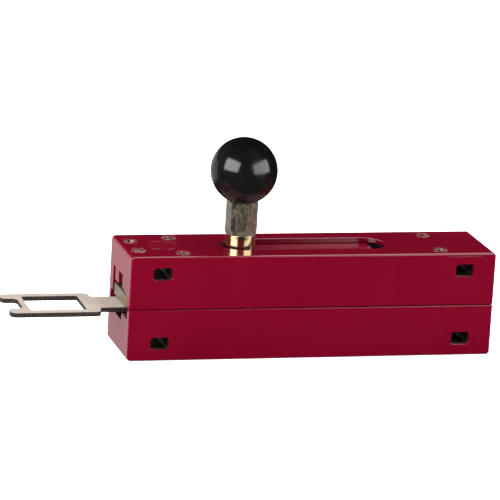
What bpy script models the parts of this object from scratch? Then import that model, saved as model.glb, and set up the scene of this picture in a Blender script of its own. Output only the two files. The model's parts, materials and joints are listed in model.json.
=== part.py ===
"""Hand-operated slide bolt for a machine guard door.

A two-part red housing carries a bolt that slides along +X and -X on two steel rods. The bolt holds
a flat interlock key that stands out of the left end, and a hexagonal post with a ball knob moves it
through a slot in the deck. A shutter rides with the post and closes the slot.

Units are metres. +Z is up, +X runs along the housing away from the key, and -Y is the front.
The origin is the centre of the housing's underside.
"""
import math

import bmesh
import bpy
from mathutils import Matrix, Vector

# ---------------------------------------------------------------- clearances
GAP = 0.0003                # between pieces that seat on each other
SLIDING_GAP = 0.0005        # beside and above pieces that slide
OVERSHOOT = 0.002           # how far a cutter runs past the face that it opens
MERGE_DISTANCE = 0.000005   # points closer than this are one point
HAIRLINE = 0.00001          # the flat that is left between two arcs that nearly meet

# ---------------------------------------------------------------- housing
HOUSING_LENGTH = 0.160
HOUSING_DEPTH = 0.038
HOUSING_HEIGHT = 0.045
SPLIT_HEIGHT = 0.0222       # where the two shells meet
SIDE_WALL = 0.0032
END_WALL = 0.0035
KEY_END_WALL = 0.0082       # the thick upper end wall over the key, which holds rods and plunger
DECK_THICKNESS = 0.0020
BASE_THICKNESS = 0.0025
END_EDGE_RADIUS = 0.0016
LONG_EDGE_RADIUS = 0.0008
SPLIT_EDGE_RADIUS = 0.00045

# ---------------------------------------------------------------- mounting slots
MOUNT_FROM_END = 0.0138
MOUNT_FROM_FACE = 0.0075    # from the underside and from the deck
MOUNT_SLOT_LENGTH = 0.0079
MOUNT_SLOT_WIDTH = 0.0053
MOUNT_SLOT_RADIUS = 0.0014
SLEEVE_WALL = 0.0008
SLEEVE_SEAT_LIP = 0.0016    # the part of the front wall that the sleeves, put in from behind, stop at

# ---------------------------------------------------------------- bolt travel and handle
STROKE = 0.046              # leaves the prongs' tips in the key's slot, so that it guides them
POST_FROM_KEY_END = 0.0514
NECK_DIAMETER = 0.0128
NECK_ABOVE_DECK = 0.0049
HEX_ACROSS_FLATS = 0.0120
HEX_TURN = math.radians(5.0)
HEX_HEIGHT = 0.0144
POST_SHANK_DIAMETER = 0.0080
BALL_RADIUS = 0.01425
BALL_FLAT_RADIUS = 0.0066
INSERT_WALL = 0.0012
INSERT_DEPTH = 0.0140
NUT_ACROSS_FLATS = 0.0130
NUT_HEIGHT = 0.0050
WASHER_DIAMETER = 0.0145
WASHER_THICKNESS = 0.0012
POST_PAST_NUT = 0.0006
STUD_END_CLEARANCE = 0.0020
POST_EASE = 0.0005

# ---------------------------------------------------------------- deck slot and shutter
DECK_SLOT_WIDTH = 0.0185
DECK_SLOT_NEAR_CLEARANCE = 0.0020   # past the neck at rest
DECK_SLOT_FAR_CLEARANCE = 0.0120    # past the neck when the bolt is drawn back
SHUTTER_THICKNESS = 0.0008
SHUTTER_LIP = 0.00095       # how far the shutter reaches under the deck beside the slot
SHUTTER_FROM_KEY_END = 0.0270
SHUTTER_CORNER_RADIUS = 0.0020
RAIL_HEIGHT = 0.0047
RAIL_LEDGE = 0.0016
RAIL_FROM_END = 0.0205

# ---------------------------------------------------------------- interlock key
KEY_BELOW_SPLIT = 0.0016
KEY_THICKNESS = 0.0020
KEY_SIDE_CLEARANCE = 0.0009
KEY_REACH = 0.0490
KEY_SHOULDER_REACH = 0.0104
KEY_NECK_WIDTH = 0.0170
KEY_TAIL = 0.0190
KEY_CORNER_RADIUS = 0.0028
KEY_LEG_WIDTH = 0.0044
KEY_WINDOW_FROM_TIP = 0.0090
KEY_WINDOW_LENGTH = 0.0240
KEY_WINDOW_RADIUS = 0.0008
KEY_NOTCH_WIDTH = 0.0150
KEY_NOTCH_DEPTH = 0.0065
KEY_NOTCH_RADIUS = 0.0022
KEY_SCREW_FROM_KEY_END = (0.0065, 0.0145)
KEY_FLOOR_DROP = 0.0014     # from the key's underside to the floor of its slot
KEY_CHANNEL_WIDTH = 0.0108
KEY_CHANNEL_DROP = 0.0044

# ---------------------------------------------------------------- carriage, rods and end guides
BAR_HEIGHT = 0.0051
BAR_WIDTH = 0.0160
NOSE_WIDTH = 0.0236
NOSE_LENGTH = 0.0195
NOSE_INSET = 0.0005
SADDLE_WIDTH = 0.0236
SADDLE_LENGTH = 0.0250
SADDLE_ROOF = 0.0017        # from the bushes to the top of the saddle
TURRET_DIAMETER = 0.0150
ROD_DIAMETER = 0.0040
ROD_SPACING = 0.0148
ROD_FROM_NOSE = 0.0025      # how far inside the end guides' faces the rods start
ROD_ABOVE_SPLIT = 0.0081
BUSH_WALL = 0.0012
BUSH_LENGTH = 0.0070
WINDOW_WIDTH = 0.0248
WINDOW_BELOW_DECK = 0.0113
GUIDE_ABOVE_BAR = 0.0014
GUIDE_CHANNEL_WIDTH = 0.0066
GUIDE_CHANNEL_OFFSET = 0.0011
HOLDER_THICKNESS = 0.0062
HOLDER_RIB = 0.0016
BUFFER_DIAMETER = 0.0100
BUFFER_LENGTH = 0.0041
BUFFER_STEM_DIAMETER = 0.0050
BUFFER_STEM_SHORT = 0.0015  # how far inside the holder's far face the stem ends
BUFFER_EASE = 0.0008

# ---------------------------------------------------------------- hold plunger
PLUNGER_DIAMETER = 0.0050
PLUNGER_FROM_KEY_END = 0.0046
PLUNGER_IN_BORE = 0.0033    # how far the body reaches into its bore over the window
PLUNGER_SPIGOT_DIAMETER = 0.0028
PLUNGER_SPIGOT = 0.0020
PLUNGER_BORE_ABOVE_WINDOW = 0.0083
SPRING_WIRE = 0.0006
SPRING_TURNS = 4
PLUNGER_EASE = 0.0006

# ---------------------------------------------------------------- fasteners
HEAD_DIAMETER = 0.0066
HEAD_HEIGHT = 0.0010
HEAD_SOCKET = 0.0030
HEAD_BELOW_DECK = 0.0001
ROD_SCREW_DIAMETER = 0.0030
ROD_SCREW_FROM_KEY_END = 0.0054
DECK_SCREW_DIAMETER = 0.0025
DECK_SCREW_DEPTH = 0.0060
DECK_SCREW_FROM_END = 0.0233
DECK_SCREW_SHARE = 0.4      # where the screws stand in a rail's width, from its inner edge
CLOSING_SCREW_DIAMETER = 0.0025
CLOSING_HEAD_DIAMETER = 0.0045
CLOSING_HEAD_HEIGHT = 0.0025
CLOSING_SOCKET = 0.0020
CLOSING_SCREW_ABOVE_SPLIT = 0.0100
CLOSING_BOSS_DIAMETER = 0.0062
CLOSING_BOSS_FROM_SIDE = 0.0033
CLOSING_SCREW_FROM_KEY_END = 0.0520
CLOSING_SCREW_FROM_FAR_END = 0.0320
KEY_SCREW_DIAMETER = 0.0030
KEY_SCREW_HEAD_DIAMETER = 0.0055
KEY_SCREW_HEAD_HEIGHT = 0.0019
KEY_SCREW_SOCKET = 0.0025
KEY_SCREW_ROOF = 0.0008     # what is left of the nose over the key screws' holes
DISC_DIAMETER = 0.0136
DISC_FROM_KEY_END = 0.0175
DISC_THICKNESS = 0.0009
DISC_RECESS_DEPTH = 0.0011
DISC_RIM_WIDTH = 0.0007
DISC_FIELD_DROP = 0.0003

# ---------------------------------------------------------------- groove on the front face
GROOVE_LENGTH = 0.0160
GROOVE_HEIGHT = 0.0008
GROOVE_DEPTH = 0.00035
GROOVE_FROM_FAR_END = 0.0055
GROOVE_BELOW_DECK = 0.0009

# ---------------------------------------------------------------- positions that follow
KEY_END = -HOUSING_LENGTH / 2
FAR_END = HOUSING_LENGTH / 2
HALF_DEPTH = HOUSING_DEPTH / 2
CAVITY_HALF = HALF_DEPTH - SIDE_WALL
CAVITY_FAR = FAR_END - END_WALL
DECK_UNDERSIDE = HOUSING_HEIGHT - DECK_THICKNESS

KEY_TOP = SPLIT_HEIGHT - KEY_BELOW_SPLIT
KEY_UNDERSIDE = KEY_TOP - KEY_THICKNESS
KEY_HALF_WIDTH = CAVITY_HALF - KEY_SIDE_CLEARANCE

POST_X = KEY_END + POST_FROM_KEY_END
BAR_UNDERSIDE = KEY_TOP + GAP
BAR_TOP = BAR_UNDERSIDE + BAR_HEIGHT
ROD_Z = SPLIT_HEIGHT + ROD_ABOVE_SPLIT
BUSH_DIAMETER = ROD_DIAMETER + 2 * (GAP + BUSH_WALL)
SADDLE_TOP = ROD_Z + BUSH_DIAMETER / 2 + SADDLE_ROOF

SHUTTER_TOP = DECK_UNDERSIDE - GAP
SHUTTER_UNDERSIDE = SHUTTER_TOP - SHUTTER_THICKNESS
SHUTTER_HALF_WIDTH = DECK_SLOT_WIDTH / 2 + SHUTTER_LIP
SHUTTER_FAR = CAVITY_FAR - STROKE - SLIDING_GAP
RAIL_INNER = SHUTTER_HALF_WIDTH + GAP
RAIL_OUTER = CAVITY_HALF - GAP
NECK_UNDERSIDE = SHUTTER_UNDERSIDE - GAP
TURRET_TOP = NECK_UNDERSIDE - GAP
HEX_UNDERSIDE = HOUSING_HEIGHT + NECK_ABOVE_DECK
HEX_TOP = HEX_UNDERSIDE + HEX_HEIGHT
BALL_UNDERSIDE = HEX_TOP + GAP
BALL_CENTRE_Z = BALL_UNDERSIDE + math.sqrt(BALL_RADIUS ** 2 - BALL_FLAT_RADIUS ** 2)

WINDOW_TOP = HOUSING_HEIGHT - WINDOW_BELOW_DECK
GUIDE_UNDERSIDE = BAR_TOP + GUIDE_ABOVE_BAR
HOLDER_FAR = CAVITY_FAR - GAP
HOLDER_NEAR = HOLDER_FAR - HOLDER_THICKNESS
HOLDER_UNDERSIDE = MOUNT_FROM_FACE + MOUNT_SLOT_WIDTH / 2 + SLEEVE_WALL + 2 * GAP
HOLDER_TOP = HOUSING_HEIGHT - HOLDER_UNDERSIDE
BUFFER_NEAR = HOLDER_NEAR - GAP - BUFFER_LENGTH
BAR_FAR = BUFFER_NEAR - GAP - STROKE
BAR_MIDDLE_Z = (BAR_UNDERSIDE + BAR_TOP) / 2

MOUNT_POSITIONS = [(x, z)
                   for x in (KEY_END + MOUNT_FROM_END, FAR_END - MOUNT_FROM_END)
                   for z in (MOUNT_FROM_FACE, HOUSING_HEIGHT - MOUNT_FROM_FACE)]
CLOSING_POSITIONS = [(x, side * (HALF_DEPTH - CLOSING_BOSS_FROM_SIDE))
                     for x in (KEY_END + CLOSING_SCREW_FROM_KEY_END,
                               FAR_END - CLOSING_SCREW_FROM_FAR_END)
                     for side in (-1, 1)]
DECK_SCREW_Y = RAIL_INNER + DECK_SCREW_SHARE * (RAIL_OUTER - RAIL_INNER)
DECK_SCREW_POSITIONS = [(x, side * DECK_SCREW_Y)
                        for x in (KEY_END + DECK_SCREW_FROM_END, FAR_END - DECK_SCREW_FROM_END)
                        for side in (-1, 1)]


# ---------------------------------------------------------------- scene and materials
def clear_scene():
    """Remove every object that is already in the file."""
    for old in list(bpy.data.objects):
        bpy.data.objects.remove(old, do_unlink=True)


def new_collection(name):
    """Return a new collection that is linked to the scene."""
    collection = bpy.data.collections.new(name)
    bpy.context.scene.collection.children.link(collection)
    return collection


def finish(name, colour, roughness, metallic):
    """Return a Principled material."""
    material = bpy.data.materials.new(name)
    material.use_nodes = True
    shader = material.node_tree.nodes["Principled BSDF"]
    shader.inputs["Base Color"].default_value = (*colour, 1.0)
    shader.inputs["Roughness"].default_value = roughness
    shader.inputs["Metallic"].default_value = metallic
    return material


clear_scene()
PARTS = new_collection("guard_slide_bolt")
CUTTERS = new_collection("cutters")

RED = finish("red_enamel", (0.22, 0.003, 0.02), 0.22, 0.0)
ZINC = finish("bright_zinc", (0.62, 0.60, 0.56), 0.38, 1.0)
YELLOW_ZINC = finish("yellow_zinc", (0.50, 0.44, 0.30), 0.30, 1.0)
STEEL = finish("ground_steel", (0.50, 0.50, 0.50), 0.25, 1.0)
BRASS = finish("brass", (0.60, 0.44, 0.18), 0.30, 1.0)
BRONZE = finish("sintered_bronze", (0.42, 0.28, 0.14), 0.55, 1.0)
BLACK_RESIN = finish("black_resin", (0.010, 0.009, 0.009), 0.08, 0.0)
BLACK_NYLON = finish("black_nylon", (0.020, 0.020, 0.020), 0.45, 0.0)
RUBBER = finish("black_rubber", (0.015, 0.015, 0.015), 0.80, 0.0)


# ---------------------------------------------------------------- shapes
def add_object(name, mesh, material, location=(0.0, 0.0, 0.0)):
    """Make a part from a mesh, or a cutter where the material is None."""
    piece = bpy.data.objects.new(name, mesh)
    piece.location = location
    if material is None:
        CUTTERS.objects.link(piece)
        piece.hide_render = True
        piece.display_type = "WIRE"
    else:
        PARTS.objects.link(piece)
        mesh.materials.append(material)
    return piece


def box(name, low, high, material=None):
    """Return a box between two corners."""
    low = Vector(low)
    high = Vector(high)
    solid = bmesh.new()
    bmesh.ops.create_cube(solid, size=1.0)
    bmesh.ops.scale(solid, vec=high - low, verts=solid.verts)
    mesh = bpy.data.meshes.new(name)
    solid.to_mesh(mesh)
    solid.free()
    return add_object(name, mesh, material, (low + high) / 2)


def rod(name, start, end, diameter, material=None, sides=16, turn=0.0):
    """Return a round or six-sided bar between two points."""
    start = Vector(start)
    end = Vector(end)
    run = end - start
    solid = bmesh.new()
    bmesh.ops.create_cone(solid, cap_ends=True, segments=sides, radius1=diameter / 2,
                          radius2=diameter / 2, depth=run.length)
    turn_matrix = run.to_track_quat("Z", "Y").to_matrix() @ Matrix.Rotation(turn, 3, "Z")
    bmesh.ops.rotate(solid, matrix=turn_matrix, verts=solid.verts)
    mesh = bpy.data.meshes.new(name)
    solid.to_mesh(mesh)
    solid.free()
    if sides > 6:
        smooth_round_faces(mesh)
    return add_object(name, mesh, material, (start + end) / 2)


def hexagon(name, start, end, across_flats, material=None, turn=0.0):
    """Return a hexagonal bar with the given size across its flats."""
    return rod(name, start, end, across_flats / math.cos(math.pi / 6), material, 6, turn)


def smooth_round_faces(mesh):
    """Shade round faces smooth and keep the sharp edges."""
    mesh.shade_smooth()
    mesh.set_sharp_from_angle(angle=math.radians(40))


def turned(name, profile, location, material, steps=24, tilt=None):
    """Spin a profile of (radius, height) points, which runs from top to bottom, round Z."""
    mesh = bpy.data.meshes.new(name)
    points = [(radius, 0.0, height) for radius, height in profile]
    mesh.from_pydata(points, [(i, i + 1) for i in range(len(points) - 1)], [])
    piece = add_object(name, mesh, material, location)
    if tilt is not None:
        piece.rotation_euler = tilt
    spin = piece.modifiers.new("spin", "SCREW")
    spin.steps = steps
    spin.render_steps = steps
    spin.use_merge_vertices = True
    spin.merge_threshold = MERGE_DISTANCE
    spin.use_smooth_shade = False
    return piece


def rounded_outline(corners, arc_steps=5):
    """Return the points of an outline whose corners are (x, y, radius), each rounded by an arc."""
    points = []
    count = len(corners)
    for index, (x, y, radius) in enumerate(corners):
        corner = Vector((x, y))
        if radius == 0.0:
            points.append(corner)
            continue
        back = Vector(corners[index - 1][:2]) - corner
        ahead = Vector(corners[(index + 1) % count][:2]) - corner
        back.normalize()
        ahead.normalize()
        half_angle = back.angle(ahead) / 2
        centre = corner + (back + ahead).normalized() * radius / math.sin(half_angle)
        reach = radius / math.tan(half_angle)
        first = corner + back * reach - centre
        last = corner + ahead * reach - centre
        sweep = first.angle_signed(last)
        for step in range(arc_steps + 1):
            points.append(centre + Matrix.Rotation(-sweep * step / arc_steps, 2) @ first)
    return points


def slot_outline(length, width, radius):
    """Return a rectangle with round corners, centred on the origin."""
    x = length / 2
    y = width / 2
    return rounded_outline([(-x, -y, radius), (x, -y, radius), (x, y, radius), (-x, y, radius)])


def plate(name, outlines, low, high, material=None, centre=(0.0, 0.0), upright=False):
    """Fill flat outlines, the inner ones being holes, and give them thickness.

    The plate lies between the heights low and high. An upright plate stands between two depths
    instead, with its outline in X and Z.
    """
    curve = bpy.data.curves.new(name, "CURVE")
    curve.dimensions = "2D"
    curve.fill_mode = "BOTH"
    curve.extrude = (high - low) / 2
    for outline in outlines:
        spline = curve.splines.new("POLY")
        spline.points.add(len(outline) - 1)
        for point, (x, y) in zip(spline.points, outline):
            point.co = (x, y, 0.0, 1.0)
        spline.use_cyclic_u = True
    flat = bpy.data.objects.new(name, curve)
    PARTS.objects.link(flat)
    bpy.context.view_layer.update()
    evaluated = flat.evaluated_get(bpy.context.evaluated_depsgraph_get())
    mesh = bpy.data.meshes.new_from_object(evaluated)
    bpy.data.objects.remove(flat, do_unlink=True)
    bpy.data.curves.remove(curve)
    mesh.name = name
    solid = bmesh.new()
    solid.from_mesh(mesh)
    bmesh.ops.remove_doubles(solid, verts=solid.verts, dist=MERGE_DISTANCE)
    if upright:
        bmesh.ops.rotate(solid, matrix=Matrix.Rotation(math.pi / 2, 3, "X"), verts=solid.verts)
    bmesh.ops.recalc_face_normals(solid, faces=solid.faces)
    solid.to_mesh(mesh)
    solid.free()
    mesh.materials.clear()
    middle = (low + high) / 2
    place = (centre[0], middle, centre[1]) if upright else (centre[0], centre[1], middle)
    return add_object(name, mesh, material, place)


def cut(piece, *cutters):
    """Take cutters away from a piece."""
    combine(piece, cutters, "DIFFERENCE")


def join(piece, *additions):
    """Add solids to a piece."""
    combine(piece, additions, "UNION")


def combine(piece, others, operation):
    """Add one Boolean modifier for each of the other solids."""
    for other in others:
        boolean = piece.modifiers.new(other.name, "BOOLEAN")
        boolean.operation = operation
        boolean.solver = "EXACT"
        boolean.object = other


def upright_hole(name, x, y, low, high, diameter, sides=16):
    """Return the cutter for a round hole along Z."""
    return rod(name, (x, y, low), (x, y, high), diameter, sides=sides)


# ---------------------------------------------------------------- housing
def shell_block(name, low_z, high_z, outer_z):
    """Return the block of one shell, rounded on its outer edges and eased at the split."""
    block = box(name, (KEY_END, -HALF_DEPTH, low_z), (FAR_END, HALF_DEPTH, high_z), RED)
    mesh = block.data
    weights = mesh.attributes.new("bevel_weight_edge", "FLOAT", "EDGE")
    for edge in mesh.edges:
        ends = [mesh.vertices[i].co + block.location for i in edge.vertices]
        at_outer = all(abs(end.z - outer_z) < GAP for end in ends)
        upright = abs(ends[0].z - ends[1].z) > GAP
        across = abs(ends[0].y - ends[1].y) > GAP
        if upright or (at_outer and not across):
            radius = LONG_EDGE_RADIUS
        elif at_outer:
            radius = END_EDGE_RADIUS
        else:
            radius = SPLIT_EDGE_RADIUS
        weights.data[edge.index].value = radius / END_EDGE_RADIUS
    bevel = block.modifiers.new("edges", "BEVEL")
    bevel.limit_method = "WEIGHT"
    bevel.width = END_EDGE_RADIUS
    bevel.segments = 3
    return block


def mount_cutters(prefix, positions):
    """Return the cutters for the slots in the front wall and the sleeves' seats behind them."""
    slot = slot_outline(MOUNT_SLOT_LENGTH, MOUNT_SLOT_WIDTH, MOUNT_SLOT_RADIUS)
    seat = slot_outline(MOUNT_SLOT_LENGTH + 2 * (SLEEVE_WALL + GAP),
                        MOUNT_SLOT_WIDTH + 2 * (SLEEVE_WALL + GAP),
                        MOUNT_SLOT_RADIUS + SLEEVE_WALL + GAP)
    cutters = []
    for index, position in enumerate(positions, 1):
        cutters.append(plate(f"{prefix}_{index}", [slot], -HALF_DEPTH - OVERSHOOT, 0.0,
                             centre=position, upright=True))
        cutters.append(plate(f"{prefix}_seat_{index}", [seat], -HALF_DEPTH + SLEEVE_SEAT_LIP,
                             HALF_DEPTH + OVERSHOOT, centre=position, upright=True))
    return cutters


def make_upper_housing():
    """The upper shell: deck, slot, end window, plunger bore, screw holes and holder ribs."""
    floor = SPLIT_HEIGHT + GAP / 2
    shell = shell_block("upper_housing", floor, HOUSING_HEIGHT, HOUSING_HEIGHT)
    cut(shell, box("upper_cavity", (KEY_END + KEY_END_WALL, -CAVITY_HALF, floor - OVERSHOOT),
                   (CAVITY_FAR, CAVITY_HALF, DECK_UNDERSIDE)))
    cut(shell, box("end_window",
                   (KEY_END - OVERSHOOT, -WINDOW_WIDTH / 2, floor - OVERSHOOT),
                   (KEY_END + KEY_END_WALL + OVERSHOOT, WINDOW_WIDTH / 2, WINDOW_TOP)))
    for index, (x, y) in enumerate(CLOSING_POSITIONS, 1):
        tip = SPLIT_HEIGHT + CLOSING_SCREW_ABOVE_SPLIT
        join(shell, rod(f"upper_boss_{index}", (x, y, floor), (x, y, tip + END_WALL),
                        CLOSING_BOSS_DIAMETER))
        cut(shell, upright_hole(f"upper_boss_hole_{index}", x, y, floor - OVERSHOOT, tip + GAP,
                                CLOSING_SCREW_DIAMETER + 2 * GAP))
    for index, rib in enumerate(holder_ribs("upper", floor, HOLDER_TOP), 1):
        join(shell, rib)
    slot_near = POST_X - NECK_DIAMETER / 2 - DECK_SLOT_NEAR_CLEARANCE
    slot_far = POST_X + STROKE + NECK_DIAMETER / 2 + DECK_SLOT_FAR_CLEARANCE
    outline = slot_outline(slot_far - slot_near, DECK_SLOT_WIDTH, DECK_SLOT_WIDTH / 2 - HAIRLINE)
    cut(shell, plate("deck_slot", [outline], DECK_UNDERSIDE - OVERSHOOT,
                     HOUSING_HEIGHT + OVERSHOOT, centre=((slot_near + slot_far) / 2, 0.0)))
    top_mounts = [position for position in MOUNT_POSITIONS if position[1] > SPLIT_HEIGHT]
    cut(shell, *mount_cutters("upper_mount_hole", top_mounts))
    cut(shell, upright_hole("plunger_bore", KEY_END + PLUNGER_FROM_KEY_END, GUIDE_CHANNEL_OFFSET,
                            WINDOW_TOP - OVERSHOOT, WINDOW_TOP + PLUNGER_BORE_ABOVE_WINDOW,
                            PLUNGER_DIAMETER + 2 * GAP))
    cut(shell, upright_hole("disc_recess", KEY_END + DISC_FROM_KEY_END, 0.0,
                            HOUSING_HEIGHT - DISC_RECESS_DEPTH, HOUSING_HEIGHT + OVERSHOOT,
                            DISC_DIAMETER + 2 * GAP, sides=28))
    for index, (x, y) in enumerate(DECK_SCREW_POSITIONS, 1):
        cut_deck_hole(shell, f"deck_hole_{index}", x, y, DECK_UNDERSIDE - OVERSHOOT,
                      DECK_SCREW_DIAMETER)
    for index, side in enumerate((-1, 1), 1):
        cut_deck_hole(shell, f"rod_screw_hole_{index}", KEY_END + ROD_SCREW_FROM_KEY_END,
                      side * ROD_SPACING / 2, WINDOW_TOP - OVERSHOOT, ROD_SCREW_DIAMETER)
    groove_top = HOUSING_HEIGHT - GROOVE_BELOW_DECK
    cut(shell, box("front_groove",
                   (FAR_END - GROOVE_FROM_FAR_END - GROOVE_LENGTH, -HALF_DEPTH - OVERSHOOT,
                    groove_top - GROOVE_HEIGHT),
                   (FAR_END - GROOVE_FROM_FAR_END, -HALF_DEPTH + GROOVE_DEPTH, groove_top)))
    return shell


def cut_deck_hole(shell, name, x, y, low, diameter):
    """Cut the hole and the spot face of a screw that goes in from the deck."""
    spot_face = HOUSING_HEIGHT - HEAD_BELOW_DECK - HEAD_HEIGHT - GAP
    cut(shell,
        upright_hole(name, x, y, low, spot_face + OVERSHOOT, diameter + 2 * GAP),
        upright_hole(name + "_spot_face", x, y, spot_face, HOUSING_HEIGHT + OVERSHOOT,
                     HEAD_DIAMETER + 2 * GAP, sides=24))


def holder_ribs(prefix, low, high):
    """Return the two ribs that keep the rod holder against the far end wall."""
    near = HOLDER_NEAR - GAP - HOLDER_RIB
    ribs = []
    for label, side in (("front", -1), ("rear", 1)):
        inner = side * (CAVITY_HALF - HOLDER_RIB)
        outer = side * (CAVITY_HALF + SIDE_WALL / 2)
        ribs.append(box(f"{prefix}_rib_{label}", (near, min(inner, outer), low),
                        (near + HOLDER_RIB, max(inner, outer), high)))
    return ribs


def make_lower_housing():
    """The lower shell: tray, key slot with its centre channel, screw bosses and holder ribs."""
    ceiling = SPLIT_HEIGHT - GAP / 2
    shell = shell_block("lower_housing", 0.0, ceiling, 0.0)
    cut(shell, box("lower_cavity", (KEY_END + END_WALL, -CAVITY_HALF, BASE_THICKNESS),
                   (CAVITY_FAR, CAVITY_HALF, ceiling + OVERSHOOT)))
    key_floor = KEY_UNDERSIDE - KEY_FLOOR_DROP
    near = KEY_END - OVERSHOOT
    far = KEY_END + END_WALL + OVERSHOOT
    slot_half = KEY_HALF_WIDTH + SLIDING_GAP
    cut(shell, box("key_slot", (near, -slot_half, key_floor),
                   (far, slot_half, ceiling + OVERSHOOT)))
    cut(shell, box("key_channel", (near, -KEY_CHANNEL_WIDTH / 2, KEY_UNDERSIDE - KEY_CHANNEL_DROP),
                   (far, KEY_CHANNEL_WIDTH / 2, key_floor + OVERSHOOT)))
    for index, (x, y) in enumerate(CLOSING_POSITIONS, 1):
        join(shell, rod(f"lower_boss_{index}", (x, y, BASE_THICKNESS / 2), (x, y, ceiling),
                        CLOSING_BOSS_DIAMETER))
        cut(shell,
            upright_hole(f"lower_boss_hole_{index}", x, y, -OVERSHOOT, ceiling + OVERSHOOT,
                         CLOSING_SCREW_DIAMETER + 2 * GAP),
            upright_hole(f"lower_counterbore_{index}", x, y, -OVERSHOOT,
                         GAP + CLOSING_HEAD_HEIGHT + GAP, CLOSING_HEAD_DIAMETER + 2 * GAP))
    for rib in holder_ribs("lower", BASE_THICKNESS / 2, ceiling):
        join(shell, rib)
    low_mounts = [position for position in MOUNT_POSITIONS if position[1] < SPLIT_HEIGHT]
    cut(shell, *mount_cutters("lower_mount_hole", low_mounts))
    return shell


def make_mounting_sleeves():
    """Four steel sleeves that line the mounting slots from the front wall's lip to the back."""
    bore = slot_outline(MOUNT_SLOT_LENGTH, MOUNT_SLOT_WIDTH, MOUNT_SLOT_RADIUS)
    outside = slot_outline(MOUNT_SLOT_LENGTH + 2 * SLEEVE_WALL, MOUNT_SLOT_WIDTH + 2 * SLEEVE_WALL,
                           MOUNT_SLOT_RADIUS + SLEEVE_WALL)
    for index, position in enumerate(MOUNT_POSITIONS, 1):
        plate(f"mounting_sleeve_{index}", [outside, bore], -HALF_DEPTH + SLEEVE_SEAT_LIP + GAP,
              HALF_DEPTH - GAP, ZINC, centre=position, upright=True)


# ---------------------------------------------------------------- fasteners
def screw(name, place, head_diameter, head_height, shank_diameter, shank_length, socket, material,
          upwards=False):
    """A screw with a chamfered head and a hexagon socket; place is the centre of the head's top."""
    ease = head_height / 5
    profile = [(0.0, 0.0), (head_diameter / 2 - ease, 0.0), (head_diameter / 2, -ease),
               (head_diameter / 2, -head_height), (shank_diameter / 2, -head_height),
               (shank_diameter / 2, -head_height - shank_length + ease),
               (shank_diameter / 2 - ease, -head_height - shank_length),
               (0.0, -head_height - shank_length)]
    tilt = (math.pi, 0.0, 0.0) if upwards else None
    piece = turned(name, profile, place, material, steps=16, tilt=tilt)
    x, y, z = place
    direction = 1 if upwards else -1
    cut(piece, hexagon(name + "_socket", (x, y, z - direction * OVERSHOOT),
                       (x, y, z + direction * head_height * 0.7), socket))
    return piece


def make_deck_screws():
    """Four screws for the shutter rails and two long ones that clamp the rods."""
    head_top = HOUSING_HEIGHT - HEAD_BELOW_DECK
    for index, (x, y) in enumerate(DECK_SCREW_POSITIONS, 1):
        screw(f"rail_screw_{index}", (x, y, head_top), HEAD_DIAMETER, HEAD_HEIGHT,
              DECK_SCREW_DIAMETER, DECK_SCREW_DEPTH - HEAD_HEIGHT, HEAD_SOCKET, RED)
    rod_top = ROD_Z + ROD_DIAMETER / 2
    for label, side in (("front", -1), ("rear", 1)):
        place = (KEY_END + ROD_SCREW_FROM_KEY_END, side * ROD_SPACING / 2, head_top)
        screw(f"rod_clamp_screw_{label}", place, HEAD_DIAMETER, HEAD_HEIGHT, ROD_SCREW_DIAMETER,
              head_top - HEAD_HEIGHT - rod_top - GAP, HEAD_SOCKET, RED)


def make_closing_screws():
    """Four screws from below that hold the shells together."""
    tip = SPLIT_HEIGHT + CLOSING_SCREW_ABOVE_SPLIT
    for index, (x, y) in enumerate(CLOSING_POSITIONS, 1):
        screw(f"closing_screw_{index}", (x, y, GAP), CLOSING_HEAD_DIAMETER, CLOSING_HEAD_HEIGHT,
              CLOSING_SCREW_DIAMETER, tip - GAP - CLOSING_HEAD_HEIGHT, CLOSING_SOCKET, ZINC,
              upwards=True)


def make_blank_disc():
    """A plain disc with a raised rim, set into the deck."""
    radius = DISC_DIAMETER / 2
    top = DISC_THICKNESS
    field = top - DISC_FIELD_DROP
    profile = [(0.0, field), (radius - DISC_RIM_WIDTH, field), (radius - DISC_RIM_WIDTH, top),
               (radius, top), (radius, 0.0), (0.0, 0.0)]
    floor = HOUSING_HEIGHT - DISC_RECESS_DEPTH + GAP
    turned("blank_disc", profile, (KEY_END + DISC_FROM_KEY_END, 0.0, floor), RED, steps=28)


# ---------------------------------------------------------------- key end
def make_end_guides():
    """Two guide blocks in the end window; each holds the near end of a rod."""
    channel_low = GUIDE_CHANNEL_OFFSET - GUIDE_CHANNEL_WIDTH / 2
    channel_high = GUIDE_CHANNEL_OFFSET + GUIDE_CHANNEL_WIDTH / 2
    edge = WINDOW_WIDTH / 2 - GAP
    near = KEY_END + NOSE_INSET
    far = KEY_END + KEY_END_WALL - GAP
    for label, side, low, high in (("front", -1, -edge, channel_low),
                                   ("rear", 1, channel_high, edge)):
        guide = box(f"end_guide_{label}", (near, low, GUIDE_UNDERSIDE),
                    (far, high, WINDOW_TOP - GAP), RED)
        y = side * ROD_SPACING / 2
        cut(guide,
            rod(f"guide_bore_{label}", (rod_start() - GAP, y, ROD_Z), (far + OVERSHOOT, y, ROD_Z),
                ROD_DIAMETER + 2 * GAP),
            upright_hole(f"guide_screw_hole_{label}", KEY_END + ROD_SCREW_FROM_KEY_END, y, ROD_Z,
                         WINDOW_TOP + OVERSHOOT, ROD_SCREW_DIAMETER + 2 * GAP))


def rod_start():
    """Return the X of the rods' near ends, inside the end guides."""
    return KEY_END + NOSE_INSET + ROD_FROM_NOSE


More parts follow.
